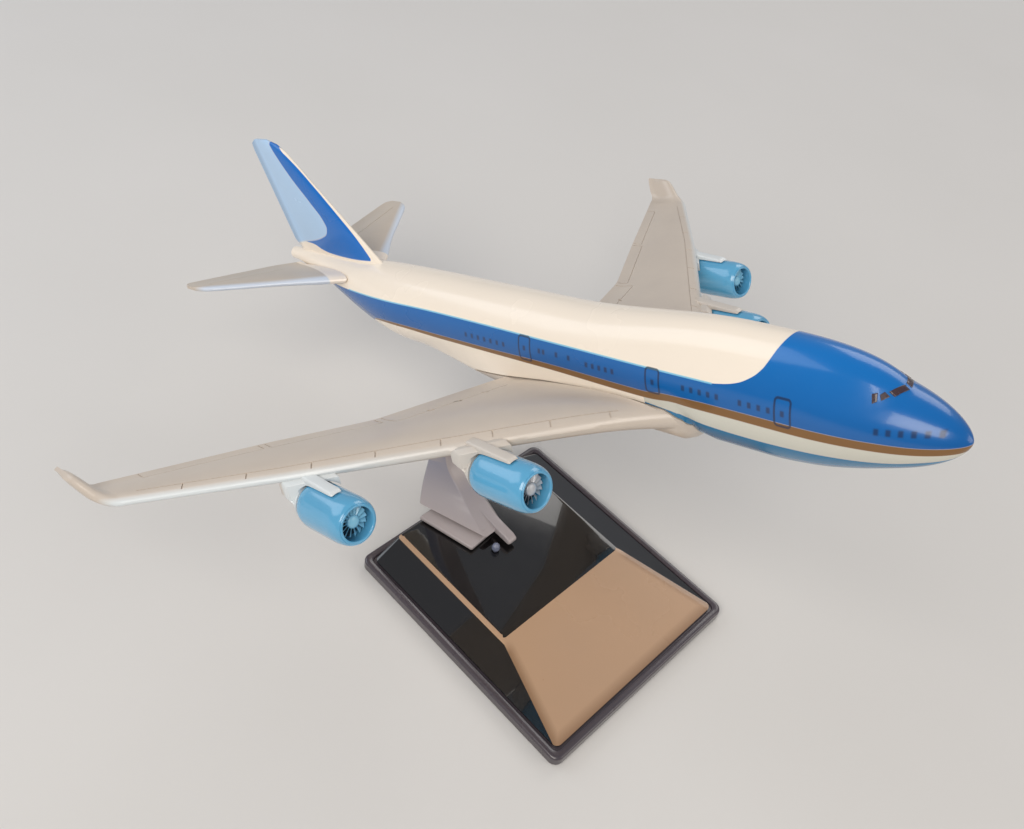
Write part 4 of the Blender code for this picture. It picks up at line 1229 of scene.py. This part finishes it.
def build_cover(black, reflected_tan):
    """Black gloss shell. Its front slope and near top edge carry a painted reflection: a warm tan put into
    the colour.
    """
    foot_z = PLINTH_TOP - 0.5 * MM + GAP
    foot = (-BASE_X + COVER_INSET, BASE_X - COVER_INSET, BASE_Y - COVER_INSET)
    wall = COVER_WALL
    inside = (foot[0] + wall, foot[1] - 2 * wall, foot[2] - wall * 1.5)
    sections = [
        (TOP_REAR + wall, TOP_FRONT - wall, TOP_HALF - wall, BASE_TOP - wall, 0.6 * MM),
        (*inside, foot_z + 0.2 * MM, 0.8 * MM),
        (*inside, foot_z, 0.8 * MM),
        (*foot, foot_z, 1.2 * MM),
        (*foot, foot_z + 0.35 * MM, 1.2 * MM),
    ]
    for row in COVER_ROUNDING:
        back, ahead, out, down, radius = (value * MM for value in row)
        sections.append((TOP_REAR - back, TOP_FRONT + ahead, TOP_HALF + out, BASE_TOP - down, radius))
    obj = loft("base_cover_fine", [rounded_rectangle(*section) for section in sections])
    combine(obj, tongue_box("slot", GAP, 0.0, 8 * MM), "DIFFERENCE")
    x, y = PIN_PLACE
    hole = [(x + PIN_HOLE_R * c, y + PIN_HOLE_R * s) for c, s in circle(32)]
    combine(obj, foot_plate("hole", hole, 0.0, 8.0), "DIFFERENCE")
    obj.data.materials.clear()
    for mat in (black, reflected_tan):
        obj.data.materials.append(mat)
    # Faces of the front slope and of the near top edge get the painted reflection in tan.
    for face in obj.data.polygons:
        front = face.center.x > TOP_FRONT + 0.3 * MM and face.normal.x > 0.04
        near = face.center.y < -TOP_HALF + 0.3 * MM and face.center.z > BASE_TOP - 0.4 * MM
        face.material_index = 1 if face.normal.z > 0.05 and (front or near) else 0
    dressed(obj, angle=30.0)
    return stands_for(obj, "stand_base", "cover_gloss", "base_cover")


def repaint(node, mat):
    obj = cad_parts[node]
    obj.data.materials.clear()
    obj.data.materials.append(mat)


# Lights: place, size, power and tone.
LIGHTS = {
    "key": ((0.15, -0.45, 0.55), (0.5, 0.4), 3.45, (1.0, 0.94, 0.86)),
    "fill": ((-0.55, -0.25, 0.35), (0.5, 0.4), 1.1, (0.86, 0.92, 1.0)),
    "front": ((0.5, 0.25, 0.3), (0.4, 0.3), 0.75, (1.0, 0.93, 0.85)),
    "back": ((-0.2, 0.6, 0.5), (0.5, 0.4), 1.4, (1.0, 0.97, 0.93)),
}
LIT_POINT = Vector((-0.02, 0.0, 0.05))
WORLD_TONE = (0.9, 0.93, 1.0, 1.0)
WORLD_STRENGTH = 0.32
FLOOR_HALF = 3.0
FLOOR_Z = -0.02 * MM


def build_stage():
    """Pale floor, soft world light and four area lights."""
    mesh = bpy.data.meshes.new("floor")
    corners = [(FLOOR_HALF * x, FLOOR_HALF * y, 0) for x, y in ((-1, -1), (1, -1), (1, 1), (-1, 1))]
    mesh.from_pydata(corners, [], [(0, 1, 2, 3)])
    floor = placed("floor", mesh)
    floor.location.z = FLOOR_Z
    grain = ((700.0,), 0.00005, 0.2)
    tones = ((208, 206, 203), (214, 212, 210))
    mesh.materials.append(grained("floor_paper", *tones, (14.0, 4.0), (700.0,), (0.75, 0.85), grain))
    world = bpy.data.worlds.new("studio")
    bpy.context.scene.world = world
    world.use_nodes = True
    background = world.node_tree.nodes["Background"]
    background.inputs["Color"].default_value = WORLD_TONE
    background.inputs["Strength"].default_value = WORLD_STRENGTH
    bpy.context.scene.view_settings.view_transform = "Standard"
    for name, (place, size, power, tone) in LIGHTS.items():
        data = bpy.data.lights.new(name, "AREA")
        data.shape = "RECTANGLE"
        data.size, data.size_y = size
        data.energy = power
        data.color = tone
        light = placed(name, data)
        light.location = place
        light.rotation_euler = (LIT_POINT - Vector(place)).to_track_quat("-Z", "Y").to_euler()


CAMERA_PLACE = (0.07264, -0.11226, 0.18902)
CAMERA_RIGHT = Vector((0.70585, 0.69035, 0.15869))
CAMERA_UP = Vector((-0.53407, 0.37149, 0.75945))
CAMERA_BACK = Vector((0.46534, -0.62081, 0.63091))
CAMERA_SHIFT = (-0.0477, -0.1282)


def build_camera():
    """The photo's camera: its place and axes were fitted to the photo."""
    data = bpy.data.cameras.new("camera")
    data.lens = 38.1
    data.sensor_width = 36.0
    data.shift_x, data.shift_y = CAMERA_SHIFT
    data.clip_start = 0.01
    obj = placed("camera", data)
    turn = Matrix((CAMERA_RIGHT, CAMERA_UP, CAMERA_BACK)).transposed().to_4x4()
    obj.matrix_world = Matrix.Translation(CAMERA_PLACE) @ turn
    bpy.context.scene.camera = obj


def build_aircraft():
    wings = wing_paint("wing_grey")
    tail = tail_paint("tail_grey")
    shiny = {"Coat_Weight": 0.7, "Coat_Roughness": 0.06}
    nacelle = plain_paint("nacelle_blue", (92, 170, 212), (84, 154, 192), 0.16, 0.26, **shiny)
    # Painted shade for the duct's inside behind the fan.
    duct = plain_paint("duct_painted_shade", (40, 62, 78), (28, 44, 58), 0.5, 0.6)
    metallic = {"Metallic": 0.35, "Coat_Weight": 0.3}
    silver = plain_paint("fan_silver", (206, 206, 208), (186, 188, 192), 0.3, 0.42, **metallic)
    blue = plain_paint("fan_blue", (140, 200, 226), (122, 186, 216), 0.25, 0.35, Coat_Weight=0.3)
    build_fuselage(livery("fuselage_livery"))
    build_wings(wings)
    tones = ((38, 30, 42), (70, 48, 52))
    glass = grained("cockpit_glass", *tones, (600.0,), (900.0,), (0.2, 0.3), Coat_Weight=0.5)
    build_cockpit_glass(glass)
    for label, side in (("starboard", -1), ("port", 1)):
        build_tailplane(label, side, tail)
        for where, engine, fan in (("inner", INNER_ENGINE, silver), ("outer", OUTER_ENGINE, blue)):
            build_nacelle(where, label, engine, side, nacelle, duct)
            build_fan(where, label, engine, side, fan)


def build_stand():
    gloss = {"Coat_Weight": 1.0, "Coat_Roughness": 0.02}
    black = stand_paint("cover_black", (14, 13, 14), (18, 16, 17), 0.06, **gloss)
    satin = {"Coat_Weight": 0.5, "Coat_Roughness": 0.1}
    # The rim is black gloss plastic. Its purple grey colour is a painted reflection of cool light on the
    # rolled edge.
    rim = stand_paint("plinth_black", (74, 66, 72), (62, 56, 62), 0.22, **satin)
    build_arm(arm_paint("arm_plastic"))
    build_plinth(rim)
    # The cover's front slope and near top edge get a painted reflection in tan.
    build_cover(black, reflection_paint("cover_painted_reflection"))
    grain = ((4000.0, 2.0), 0.000005, 0.3)
    tones = ((186, 186, 190), (160, 160, 164))
    steel = grained("screw_steel", *tones, (500.0, 4.0), (900.0,), (0.25, 0.4), grain, Metallic=0.95)
    for node in ("belly_screw_front", "belly_screw_rear", "base_ballast"):
        repaint(node, steel)
    repaint("base_pad", stand_paint("pad_rubber", (30, 30, 30), (40, 39, 38), 0.75))
    pin = plain_paint("pin_plastic", (120, 126, 148), (104, 110, 130), 0.3, 0.4, Coat_Weight=0.4)
    repaint("stand_pin", pin)


build_aircraft()
build_stand()
build_stage()
build_camera()
